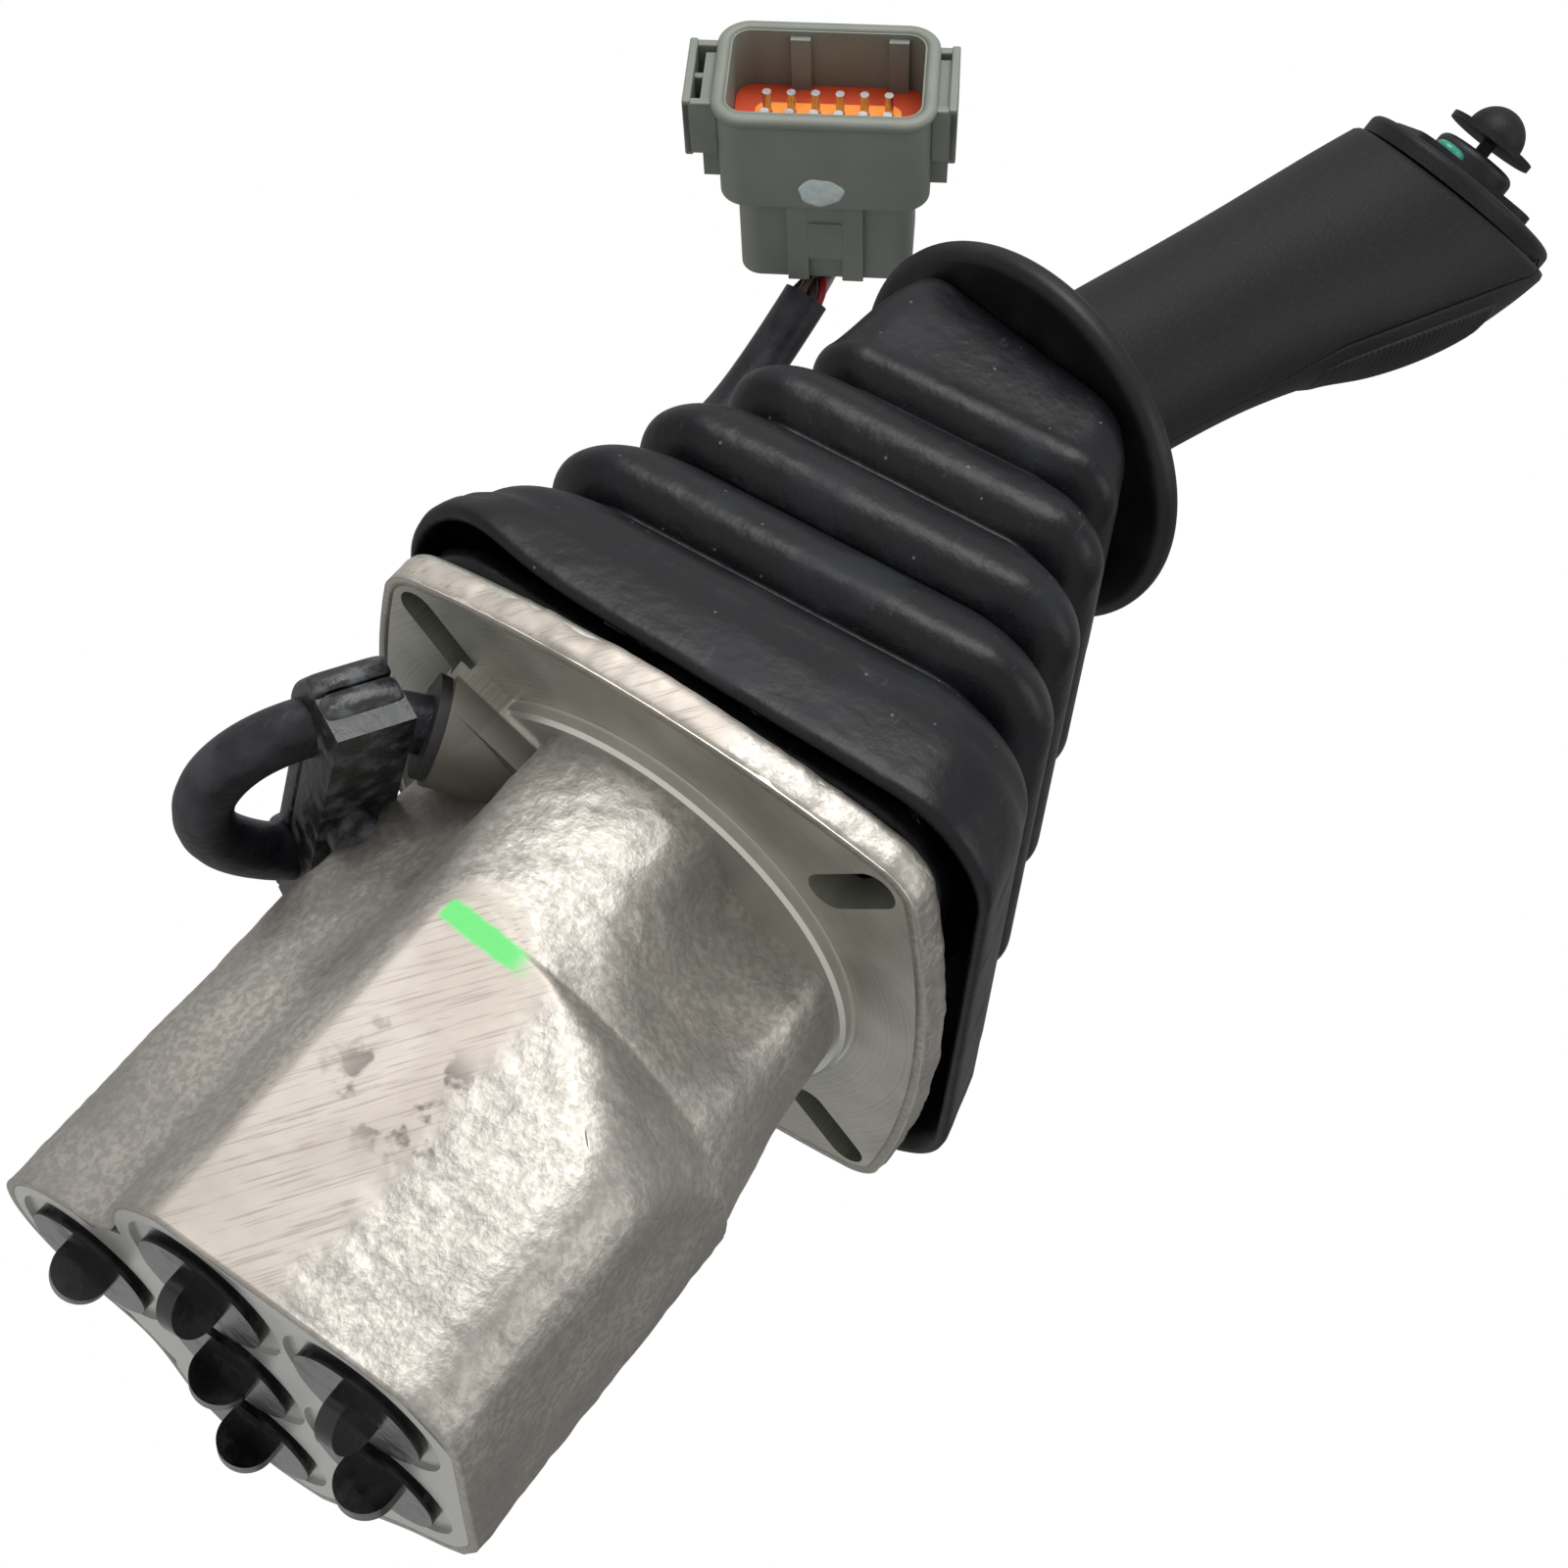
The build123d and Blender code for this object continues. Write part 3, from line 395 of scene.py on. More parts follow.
def surface(name, grid, finish, body, wrap_rows=False, wrap_columns=True, caps=False):
    """A mesh from a grid of points in millimetres. Columns run round the piece, and caps close the end rows."""
    rows, columns = grid.shape[:2]
    index = np.arange(rows * columns).reshape(rows, columns)
    if wrap_columns:
        index = np.column_stack((index, index[:, 0]))
    if wrap_rows:
        index = np.vstack((index, index[:1]))
    quads = np.stack((index[:-1, :-1], index[:-1, 1:], index[1:, 1:], index[1:, :-1]), axis=-1).reshape(-1, 4)
    points = grid.reshape(-1, 3)
    faces = quads.tolist()
    if caps:
        points = np.vstack((points, grid[0].mean(0), grid[-1].mean(0)))
        low, high = rows * columns, rows * columns + 1
        faces += [(low, b, a) for a, b in zip(index[0, :-1], index[0, 1:])]
        faces += [(high, a, b) for a, b in zip(index[-1, :-1], index[-1, 1:])]
    mesh = bpy.data.meshes.new(name)
    mesh.from_pydata((points * MM).tolist(), [], faces)
    mesh.polygons.foreach_set("use_smooth", [True] * len(mesh.polygons))
    mesh.materials.append(finish)
    mesh.update()
    made = bpy.data.objects.new(name, mesh)
    bpy.context.scene.collection.objects.link(made)
    if body:
        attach(made, body)
    return made


def reach_out(angles, heights):
    """Radius at which each ray from the valve's axis leaves the block: a coarse search inwards, then halving."""
    x = np.cos(angles)
    y = np.sin(angles)
    radius = np.full(np.broadcast(angles, heights).shape, SEARCH_FROM)
    outside = np.ones(radius.shape, bool)
    for _ in range(72):
        outside &= block_distance(radius * x, radius * y, heights) > 0
        radius = np.where(outside, radius - SEARCH_STEP, radius)
    low, high = radius, radius + SEARCH_STEP
    for _ in range(10):
        middle = (low + high) / 2
        out = block_distance(middle * x, middle * y, heights) > 0
        low, high = np.where(out, low, middle), np.where(out, middle, high)
    return low


def around_axis(radius, heights):
    """Points at these radii and heights, with one column for each angle."""
    return np.stack((radius * np.cos(angles), radius * np.sin(angles), heights + 0 * angles), axis=-1)


# The ground flat is smooth, and the skin runs smoothly into both machined ends.
angles = np.linspace(0, 2 * math.pi, AROUND, endpoint=False)[None, :]
heights = np.linspace(-BODY_H, SKIN_TOP, STEPS_UP)[:, None]
radius = reach_out(angles, heights)
wall = around_axis(radius, heights)
ground = np.clip((FRONT_Y + 0.6 - wall[..., 1]) / 0.5, 0, 1) * np.clip((14 - wall[..., 0]) / 4, 0, 1)
machined = np.clip((wall[..., 2] + BODY_H) / 1.2, 0, 1) * np.clip((-3 - wall[..., 2]) / 2, 0, 1)
rough = 0.2 * lumps(wall, 9, 1) + 0.13 * lumps(wall, 3.1, 2) + 0.09 * lumps(wall, 1.4, 3)
radius = radius + rough * (1 - 0.9 * ground) * machined
wall = around_axis(radius, heights)
inner_heights = np.linspace(SKIN_TOP, -BODY_H - 0.03, 14)[:, None]
inner_radius = np.column_stack([np.interp(inner_heights[:, 0], heights[:, 0], column) for column in radius.T])
inner_wall = around_axis(inner_radius - SKIN_T, inner_heights)

cast = Finish("cast_body")
cast_x, cast_y, cast_z = (cast.axes.out(letter) for letter in "XYZ")
front = cast.step(cast_y, -0.0388, -0.0395)
edge_noise = cast.noise(14, 3)
ground_flat = front * cast.step(cast_x - 0.012 * edge_noise, 0.0105, 0.006)
grain = cast.noise(1.1, 3)
sand = cast.noise(0.42, 2)
patches = cast.noise(16, 4)
streaks = cast.noise(0.32, 3, stretch=(1, 1, 26), turned=(0, math.radians(-35), 0))
cast_colour = cast.mix(cast.step(patches, 0.35, 0.68), paint(150, 146, 140), paint(170, 166, 159))
cast_colour = cast.mix(0.7 * cast.step(grain, 0.62, 0.4), cast_colour, paint(138, 134, 128))
flat_colour = cast.mix(cast.step(patches, 0.4, 0.62), paint(158, 151, 143), paint(174, 167, 159))
flat_colour = cast.mix(0.6 * cast.step(streaks, 0.5, 0.72), flat_colour, paint(126, 118, 111))
# Where the stamp was there is a bare smudge, and above it an inspector's dash of green paint.
smudge_x = cast.step(cast.math("ABSOLUTE", cast_x - 0.009), 0.015, 0.004)
smudge_z = cast.step(cast.math("ABSOLUTE", cast_z + 0.0595), 0.011, 0.003)
smudge = smudge_x * smudge_z * front * cast.step(cast.noise(4.2, 5), 0.5, 0.6)
dash_line = cast_z + 0.0352 + 0.07 * cast_x
dash = cast.step(cast.math("ABSOLUTE", dash_line + 0.0012 * cast.noise(3, 3)), 0.0022, 0.0013)
dash_left = cast.step(cast_x, -0.0048, -0.004)
dash_right = cast.step(cast_x + 0.004 * streaks, 0.0125, 0.009)
dash = dash * dash_left * dash_right * cast.step(cast_y, -0.038, -0.0385)
body_colour = cast.mix(ground_flat, cast_colour, flat_colour)
body_colour = cast.mix(smudge * 0.75, body_colour, paint(58, 52, 50))
body_colour = cast.mix(dash * 0.9, body_colour, paint(74, 196, 92))
casting_bump = cast.bump(grain * (1 - ground_flat), 0.12)
casting_bump = cast.bump(sand * (1 - ground_flat), 0.035, casting_bump)
casting_bump = cast.bump(streaks * ground_flat, 0.03, casting_bump)
cast_body = cast.done(
    body_colour,
    0.4 + 0.16 * patches + 0.1 * ground_flat,
    casting_bump,
    (1 - dash) * (1 - 0.8 * smudge) * 0.82,
)
block_skin = surface("block_casting", np.vstack((wall, inner_wall)), cast_body, "base", wrap_rows=True)

# ---- machined faces of the block ----
# The flange's underside and the spigot are turned, so their fine rings run round the valve's axis. The ports' end
# is milled in straight passes.
turned = Finish("machined_body")
from_axis = turned.node("ShaderNodeVectorMath", {"operation": "LENGTH"}, {
    0: turned.node("ShaderNodeMapping", {}, {0: turned.place, "Scale": (1, 1, 0)})
}, "Value")
rings = turned.node(
    "ShaderNodeTexNoise", {"noise_dimensions": "1D"}, {"W": from_axis, "Scale": 2600.0, "Detail": 3.0}
)
passes = turned.noise(0.5, 2, stretch=(1, 30, 1))
at_end = turned.step(turned.axes.out("Z"), -0.0870, -0.0885)
worn = turned.noise(12, 4)
outside_spigot_highlight = turned.step(from_axis, 0.0378, 0.0379)
below_face = turned.step(turned.axes.out("Z"), -0.0027, -0.0032) * (1 - at_end)
machined_colour = turned.mix(turned.step(worn, 0.35, 0.7), paint(150, 150, 140), paint(172, 171, 161))
# Inside the flange ring's edge, the spigot's wall gets a painted highlight: a brighter colour stands in for light on
# it. It is also made smoother.
machined_colour = turned.mix(1 - outside_spigot_highlight, machined_colour, paint(196, 195, 188))
machined_colour = turned.mix(at_end, machined_colour, paint(186, 186, 182))
ring_marks = 0.35 * turned.step(rings, 0.35, 0.65) * (1 - at_end)
machined_colour = turned.mix(ring_marks, machined_colour, paint(188, 188, 181))
machined_colour = turned.mix(below_face, machined_colour, paint(112, 108, 102))
turned_bump = turned.bump(rings * (1 - at_end) * (1 - below_face), 0.02, turned.bump(passes * at_end, 0.02))
machined_body = turned.done(
    machined_colour,
    0.24 + 0.16 * outside_spigot_highlight + 0.14 * worn + 0.2 * below_face,
    turned_bump,
    0.88,
)

# ---- flange rim ----
# The flange's edge is left as cast: a wavy rounded rim between the faced underside and the boot's seat.
RIM_PROFILE = [
    (-1.6, -0.03), (-0.3, -0.03), (0.05, 0.25), (0.24, 0.8), (0.3, 1.8), (0.3, 3.0), (0.26, 4.1), (-0.05, 5.0),
    (-0.6, 5.75), (-1.5, 6.2), (-2.6, 6.32), (-3.6, 6.15), (-3.6, 4.6), (-1.9, 3.0), (-1.6, 1.2),
]
RIM_WAVES = [0, 0, 0.5, 1, 1, 1, 1, 1, 1, 0.8, 0.4, 0, 0, 0, 0]  # share of the waves on each row of the profile


def arc(start, through, end, count):
    """Points on the circle through three points, the last one left out."""
    (ax, ay), (bx, by), (cx, cy) = start, through, end
    d = 2 * (ax * (by - cy) + bx * (cy - ay) + cx * (ay - by))
    a2, b2, c2 = ax * ax + ay * ay, bx * bx + by * by, cx * cx + cy * cy
    centre_x = (a2 * (by - cy) + b2 * (cy - ay) + c2 * (ay - by)) / d
    centre_y = (a2 * (cx - bx) + b2 * (ax - cx) + c2 * (bx - ax)) / d
    first = math.atan2(ay - centre_y, ax - centre_x)
    last = math.atan2(cy - centre_y, cx - centre_x)
    sweep = (last - first + math.pi) % (2 * math.pi) - math.pi
    turn_by = first + sweep * np.linspace(0, 1, count, endpoint=False)
    size = math.hypot(ax - centre_x, ay - centre_y)
    return np.column_stack((centre_x + size * np.cos(turn_by), centre_y + size * np.sin(turn_by)))


# A quarter of the outline is one bowed side and one corner.
quarter = np.vstack((
    arc((-39.6, -44.6), (0, -49.3), (39.6, -44.6), 150),
    arc((39.6, -44.6), (42.7, -42.7), (44.6, -39.6), 18),
))
outline = np.vstack([
    quarter @ np.array(((math.cos(a), math.sin(a)), (-math.sin(a), math.cos(a))))
    for a in (0, math.pi / 2, math.pi, 3 * math.pi / 2)
])
along = np.roll(outline, -1, 0) - np.roll(outline, 1, 0)
outward = np.column_stack((along[:, 1], -along[:, 0])) / np.linalg.norm(along, axis=1)[:, None]
rim = np.array([
    np.column_stack((outline + outward * offset, np.full(len(outline), height))) for offset, height in RIM_PROFILE
])
waves = 0.34 * lumps(rim, 7, 5) + 0.22 * lumps(rim, 2.6, 6) + 0.08 * lumps(rim, 1.1, 7)
waves = waves * np.array(RIM_WAVES)[:, None]
rim[..., :2] += outward[None, :, :] * np.clip(waves, -0.28, 1)[..., None]
rim_skin = surface("flange_rim", rim, cast_body, "base", wrap_rows=True)


# ---- boot ----
# A moulded rubber bellows of five pleats on rounded squares, which narrow and lean towards the lever. Its open lip
# hangs over the flange, and its neck is squeezed flat under the hand guard. It is made in two pieces that meet at
# the bottom of a groove.
GUARD_AT = np.array((-3.5, -2.7, 103.7))
GUARD_N = np.array((0.198, 0.097, 0.975))
GUARD_N /= np.linalg.norm(GUARD_N)
GUARD_X = np.array((0.8476, 0.4828, -0.2202))
GUARD_X -= GUARD_N * (GUARD_X @ GUARD_N)
GUARD_X /= np.linalg.norm(GUARD_X)
GUARD_Y = np.cross(GUARD_N, GUARD_X)
GUARD_AXES = np.array((GUARD_X, GUARD_Y, GUARD_N))
BOOT_LEAN = (-0.045, -0.026)
BOOT_SHIFT = (1.6, 0.2)
# Height, half width and corner radius.
BOOT_FOOT = (8.2, 49.5, 16.0)
BOOT_CRESTS = [(25.0, 46.2, 15.0), (40.6, 41.8, 13.5), (57.2, 37.2, 12.0), (74.6, 32.2, 10.5), (90.2, 26.8, 9.0)]
BOOT_LIP = [
    (8.0, 48.6), (7.9, 49.3), (8.5, 49.9), (9.6, 50.0), (11.5, 49.7), (14.0, 49.2), (17.0, 48.7), (19.5, 48.2),
    (21.6, 47.4), (23.4, 46.6),
]
GROOVE_DEPTH = 5.4
GROOVE_LIFT = 0.8  # a groove lies this far above the middle between its crests
BOOT_WALL = 2.2
BOOT_AROUND = 320
PLEAT_STEPS = 18
SPLIT_PLEAT = 2  # the pieces meet in the groove above this crest


def rounded_square(half, corner, turn_by):
    """Radius of a rounded square in each direction: a straight side, or the corner's circle."""
    turn_by = np.mod(turn_by, math.pi / 2)
    turn_by = np.where(turn_by > math.pi / 4, math.pi / 2 - turn_by, turn_by)
    c, s = np.cos(turn_by), np.sin(turn_by)
    flat = half - corner
    side = half / c
    bend = flat * (c + s) + np.sqrt(np.maximum(flat**2 * (c + s) ** 2 - 2 * flat**2 + corner**2, 0))
    return np.where(side * s <= flat, side, bend)


def boot_profile():
    """Height and half width up the outside: the lip, then the pleats from crest to groove to crest."""
    knots = [crest[0] for crest in BOOT_CRESTS]
    rows = list(BOOT_LIP)
    grooves = [(a + b) / 2 + GROOVE_LIFT for a, b in zip(knots, knots[1:])]
    for crest, groove, following in zip(knots, grooves, knots[1:]):
        for step in np.linspace(0, 1, PLEAT_STEPS)[:-1]:
            height = crest + step * (groove - crest)
            rows.append((height, halves_at(height, step)))
        for step in np.linspace(1, 0, PLEAT_STEPS)[:-1]:
            height = following - step * (following - groove)
            rows.append((height, halves_at(height, step)))
    rows.append(BOOT_CRESTS[-1][:2])
    return np.array(rows)


def halves_at(height, share):
    """Half width at a height, where share is 0 on a crest and 1 in a groove."""
    crests = np.array(BOOT_CRESTS)
    envelope = np.interp(height, crests[:, 0], crests[:, 1])
    return envelope - GROOVE_DEPTH * share**2.1


def boot_rings(rows, inset):
    """Rings of the bellows for rows of height and half width, each set in by inset.

    The lip is lifted a little at one corner, and the pleats sag to the left.
    """
    turn_by = np.linspace(0, 2 * math.pi, BOOT_AROUND, endpoint=False)[None, :]
    height = rows[:, :1]
    sizes = np.array([BOOT_FOOT] + BOOT_CRESTS)
    corner = np.interp(height, sizes[:, 0], sizes[:, 2])
    radius = rounded_square(rows[:, 1:2] - inset, corner - 0.6 * inset, turn_by)
    x = BOOT_SHIFT[0] + BOOT_LEAN[0] * height + radius * np.cos(turn_by)
    y = BOOT_SHIFT[1] + BOOT_LEAN[1] * height + radius * np.sin(turn_by)
    lift = 3.2 * np.exp(-(((turn_by - 3.95) / 0.22) ** 2)) * np.clip((17 - height) / 8, 0, 1)
    sag = 0.05 * (x - 40) * np.clip((height - 14) / 10, 0, 1)
    return np.stack((x, y, height + lift + sag), axis=-1)


def neck_ring(half, corner, drop):
    """The neck's rounded square on a plane parallel to the guard, its sides in line with the pleats."""
    turn_by = np.linspace(0, 2 * math.pi, BOOT_AROUND, endpoint=False)
    flat_x = np.array((1.0, 0.0, 0.0)) - GUARD_N[0] * GUARD_N
    flat_x /= np.linalg.norm(flat_x)
    flat_y = np.cross(GUARD_N, flat_x)
    radius = rounded_square(half, corner, turn_by)
    centre = GUARD_AT - GUARD_N * drop
    return centre + radius[:, None] * (np.cos(turn_by)[:, None] * flat_x + np.sin(turn_by)[:, None] * flat_y)


rubber = Finish("boot_rubber")
chalk = rubber.step(rubber.noise(13, 5), 0.5, 0.78)
scuffs = rubber.step(rubber.noise(1.4, 4, stretch=(1, 1, 5)), 0.63, 0.8)
specks = rubber.step(rubber.pits(4.5), 0.07, 0.04)
rubber_colour = rubber.mix(0.45 * chalk, paint(16, 17, 20), paint(38, 40, 45))
rubber_colour = rubber.mix(0.3 * scuffs, rubber_colour, paint(66, 67, 70))
rubber_colour = rubber.mix(0.5 * specks, rubber_colour, paint(110, 110, 112))
boot_rubber = rubber.done(
    rubber_colour,
    0.42 + 0.2 * chalk,
    rubber.bump(rubber.noise(0.5, 3), 0.03, rubber.bump(rubber.noise(7, 3), 0.5)),
    specular=0.24,
)

profile = boot_profile()
seam_height = (BOOT_CRESTS[SPLIT_PLEAT - 1][0] + BOOT_CRESTS[SPLIT_PLEAT][0]) / 2 + GROOVE_LIFT
lower_rows = profile[profile[:, 0] <= seam_height + 1e-6]
upper_rows = profile[profile[:, 0] >= seam_height - 1e-6]
lower_skin = boot_rings(lower_rows, 0)
lower_lining = boot_rings(lower_rows[4:], BOOT_WALL)[::-1]
lower_boot = surface("boot_lower", np.vstack((lower_skin, lower_lining)), boot_rubber, "", wrap_rows=True)
crest_ring = boot_rings(upper_rows[-1:], 0)[0]
crown = []
for share in np.linspace(0, 1, 12)[1:]:
    bulge = 1.0 * math.sin(math.pi * share)
    crown.append((1 - share) * crest_ring + share * neck_ring(23.4 + bulge, 7.6, 1.5))
crown += [neck_ring(23.1, 7.4, 0.9), neck_ring(22.3, 7.0, 0.62), neck_ring(14.0, 6.5, 0.6)]
crown_lining = [neck_ring(14.0, 6.5, 3.2), neck_ring(20.6, 6.0, 3.2), boot_rings(upper_rows[-1:], 2.4)[0]]
upper_lining = boot_rings(upper_rows[:-1], BOOT_WALL)[::-1]
upper_grid = np.vstack((boot_rings(upper_rows, 0), np.array(crown), np.array(crown_lining), upper_lining))
upper_boot = surface("boot_upper", upper_grid, boot_rubber, "", wrap_rows=True)
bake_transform(lower_boot)
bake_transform(upper_boot)
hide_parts("rubber_boot")
# A bead inside the lip sits on the flange.
LIP_BEAD = [(43.1, 6.4), (44.5, 6.4), (44.6, 10.0), (43.1, 10.25)]
around = np.linspace(0, 2 * math.pi, BOOT_AROUND, endpoint=False)
bead = []
for half, height in LIP_BEAD:
    reach = rounded_square(half, half - 31, around)
    bead.append(np.column_stack((reach * np.cos(around), reach * np.sin(around), np.full(BOOT_AROUND, height))))
lip_bead = surface("boot_bead", np.array(bead), boot_rubber, "base", wrap_rows=True)


# ---- hand guard and grip ----
# The guard is a moulded disc on the lever. The grip is two moulded shells in fine-textured black plastic, joined
# along its sides, with a ribbed insert let into the back for the fingers.
plastic = Finish("grip_plastic")
spark = plastic.noise(0.55, 2)
sheen_patches = plastic.noise(22, 3)
grip_plastic = plastic.done(
    plastic.mix(plastic.step(spark, 0.5, 0.8), paint(21, 21, 22), paint(34, 34, 35)),
    0.5 + 0.12 * sheen_patches,
    plastic.bump(spark, 0.07),
    specular=0.22,
)
smooth_black = Finish("moulded_black")
dusting = smooth_black.noise(10, 4)
moulded_black = smooth_black.done(
    smooth_black.mix(0.5 * smooth_black.step(dusting, 0.45, 0.75), paint(17, 18, 20), paint(42, 43, 46)),
    0.4 + 0.18 * dusting,
    smooth_black.bump(smooth_black.noise(0.4, 2), 0.02),
    specular=0.26,
)

GRIP_SECTIONS = np.array([
    (5.4, -15.8, 15.6, 14.5), (28, -15.2, 16.5, 14.2), (52, -14.4, 19, 14.6), (66, -14.1, 21.9, 15.4),
    (78, -14, 25.8, 16.6), (95, -13.8, 29, 18.4), (112, -13.2, 29.6, 19.4), (134, -12, 28, 19),
    (152, -11, 26, 18),
])
TOP_AT = (7.5, 115.6)
TOP_SLOPE = 24.6
TOP_UP = (-0.3222, -0.6334, 0.7036)  # the slanted top's normal, in the guard's axes
SEAM_HEIGHTS = (5.4, 40.0, 52.0, 66.0, 80.0, 95.0, 112.0, 125.0)
SEAM_X = (15.9, 17.4, 17.6, 18.6, 21.4, 24.2, 27.0, 27.6)
GRIP_ROWS = 96
GRIP_COLUMNS = 70
GRIP_LOW = 5.4
GRIP_WALL = 2.0
SEAM_EDGE = [1.1, 0.45, 0.12, 0.02]  # insets of the columns next to a seam
SEAM_SHARES = [0.0, 0.0, 0.004, 0.012]  # and where they lie across the shell


def eased(height, column):
    """A section value at a height: cubic pieces through the sections, with slopes from their neighbours."""
    knots = GRIP_SECTIONS[:, 0]
    values = GRIP_SECTIONS[:, column]
    slopes = np.gradient(values, knots)
    spot = np.clip(np.searchsorted(knots, height) - 1, 0, len(knots) - 2)
    span = knots[spot + 1] - knots[spot]
    t = (height - knots[spot]) / span
    rise = (2 * t**3 - 3 * t**2 + 1) * values[spot] + (3 * t**2 - 2 * t**3) * values[spot + 1]
    return rise + span * ((t**3 - 2 * t**2 + t) * slopes[spot] + (t**3 - t**2) * slopes[spot + 1])


def grip_points(height, turn_by, inset):
    """Points on the grip's ellipse at a height, set in by inset, in the row's axes."""
    front_x, rear_x, half = (eased(height, column) for column in (1, 2, 3))
    x = (front_x + rear_x) / 2 + ((rear_x - front_x) / 2 - inset) * np.cos(turn_by)
    y = (half - inset) * np.sin(turn_by)
    local = np.stack((x, y, height + 0 * x), axis=-1)
    return GUARD_AT + local @ GUARD_AXES


def seam_angle(height, beyond=0.0):
    """Angle from the back at which the ellipse crosses the seam's plane."""
    front_x, rear_x = eased(height, 1), eased(height, 2)
    centre = (front_x + rear_x) / 2
    seam_x = np.interp(height, SEAM_HEIGHTS, SEAM_X)
    seam_x = np.minimum(seam_x + beyond, centre + 0.94 * (rear_x - centre))
    return np.arccos(np.clip((seam_x - centre) / ((rear_x - front_x) / 2), -1, 1))


def top_height(turn_by, inset=0.35):
    """Height at which the slanted top cuts the grip in each direction, found by repeating the substitution."""
    height = np.full(np.shape(turn_by), 115.0)
    for _ in range(12):
        front_x, rear_x = eased(height, 1), eased(height, 2)
        x = (front_x + rear_x) / 2 + (rear_x - front_x) / 2 * np.cos(turn_by)
        y = eased(height, 3) * np.sin(turn_by)
        height = TOP_AT[1] - ((x - TOP_AT[0]) * TOP_UP[0] + y * TOP_UP[1]) / TOP_UP[2] - inset
    return height


def thicken(made, wall):
    """Gives a sheet a wall on its inner side."""
    shell = made.modifiers.new("wall", "SOLIDIFY")
    shell.thickness = wall * MM
    shell.offset = -1.0


def grip_half(name, is_front):
    """One shell of the grip: columns go from seam to seam, and each edge turns in to leave a fine groove."""
    middle = list(np.linspace(0.03, 0.97, GRIP_COLUMNS))
    shares = np.array(SEAM_SHARES + middle + [1 - share for share in reversed(SEAM_SHARES)])
    inset = np.array(SEAM_EDGE + [0.0] * GRIP_COLUMNS + SEAM_EDGE[::-1])[None, :]
    rows = np.linspace(0, 1, GRIP_ROWS)[:, None]
    height = GRIP_LOW + rows * (112 - GRIP_LOW)
    for attempt in range(14):
        half_angle = seam_angle(height)
        if is_front:
            turn_by = half_angle + shares[None, :] * (2 * math.pi - 2 * half_angle)
        else:
            turn_by = -half_angle + shares[None, :] * 2 * half_angle
        height = GRIP_LOW + rows * (top_height(turn_by) - GRIP_LOW)
        height = height.mean(axis=1, keepdims=True) if attempt < 3 else height
    points = grip_points(height, turn_by, inset + 0.35 * np.clip((rows - 0.994) / 0.006, 0, 1))
    made = surface(name, points, grip_plastic, "", wrap_columns=False)
    thicken(made, GRIP_WALL)
    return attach(made, "lever")


front_shell = grip_half("grip_front", True)
rear_shell = grip_half("grip_rear", False)
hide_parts("grip_shell")
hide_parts("grip_rear_cover")

RIB_LOW = 62.5
RIB_HIGH = 103.4
RIB_PITCH = 1.25
INSERT_WALL = 0.8
rib_rows = int((RIB_HIGH - RIB_LOW) / RIB_PITCH * 8)
height = np.linspace(RIB_LOW, RIB_HIGH, rib_rows)[:, None]
half_angle = seam_angle(height, 1.8)
across = np.linspace(-1, 1, 60)[None, :]
from_side = np.clip((1 - np.abs(across)) / 0.12, 0, 1)
from_end = np.clip(np.minimum(height - RIB_LOW, RIB_HIGH - height) / 2.5, 0, 1)
fade = from_side * from_end
ribs = 0.22 * (0.5 + 0.5 * np.cos(2 * math.pi * (height - RIB_LOW) / RIB_PITCH)) ** 0.7
stand = 0.06 + 0.25 * fade**0.5 + ribs * fade
insert_grid = grip_points(height, half_angle * across, -stand + 0.35 * (fade <= 0))
insert = surface("grip_finger_insert", insert_grid, moulded_black, "", wrap_columns=False)
thicken(insert, INSERT_WALL)
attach(insert, "lever")
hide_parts("grip_ribbed_insert")


# ---- green button ----
# A low domed button in the switch base, beside the thumb control.
BUTTON_AT = (-8.8, -8.3)
BUTTON_PROFILE = [(2.85, 3.0), (2.85, 6.2), (2.75, 6.6), (2.4, 6.95), (1.7, 7.2), (0.8, 7.32)]
slope = math.radians(TOP_SLOPE)
top_up = np.array(TOP_UP) @ GUARD_AXES
top_along = np.array((math.cos(slope), 0, math.sin(slope))) @ GUARD_AXES
top_across = np.cross(top_up, top_along)
top_origin = GUARD_AT + np.array((TOP_AT[0], 0, TOP_AT[1])) @ GUARD_AXES
green_plastic = toned("green_plastic", 2, 2, (28, 108, 90), (44, 134, 110), 0.3, 0.1)
turn_by = np.linspace(0, 2 * math.pi, 40, endpoint=False)[:, None]
button = np.array([
    top_origin
    + (BUTTON_AT[0] + r * np.cos(turn_by)) * top_along
    + (BUTTON_AT[1] + r * np.sin(turn_by)) * top_across
    + height * top_up
    for r, height in BUTTON_PROFILE
])
button_skin = surface("green_button", button, green_plastic, "button", caps=True)
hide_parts("grip_button")


# ---- cable clip ----
# Two halves of black nylon squeeze the cable's two strands against the block. One screw between the strands holds
# them. Each half swells over a strand and thins to a flat bar in the middle.
CLIP_FROM = np.array((-40.0, -28.0, -15.0))
CLIP_TO = np.array((-46.4, 6.8, -19.7))
CLIP_ALONG = np.array((-0.36, -0.36, -0.85))
CLIP_W = 12.0
CLIP_BAR_T = 4.2
CLIP_SADDLE_R = 7.2
CLIP_END = 4.2  # the halves reach this far past the strands
CLIP_GAP = 0.3  # half the gap between them
clip_x = (CLIP_TO - CLIP_FROM) / np.linalg.norm(CLIP_TO - CLIP_FROM)
clip_z = np.cross(clip_x, CLIP_ALONG)
clip_z /= np.linalg.norm(clip_z)
clip_y = np.cross(clip_z, clip_x)
clip_centre = (CLIP_FROM + CLIP_TO) / 2
strand_at = np.linalg.norm(CLIP_TO - CLIP_FROM) / 2


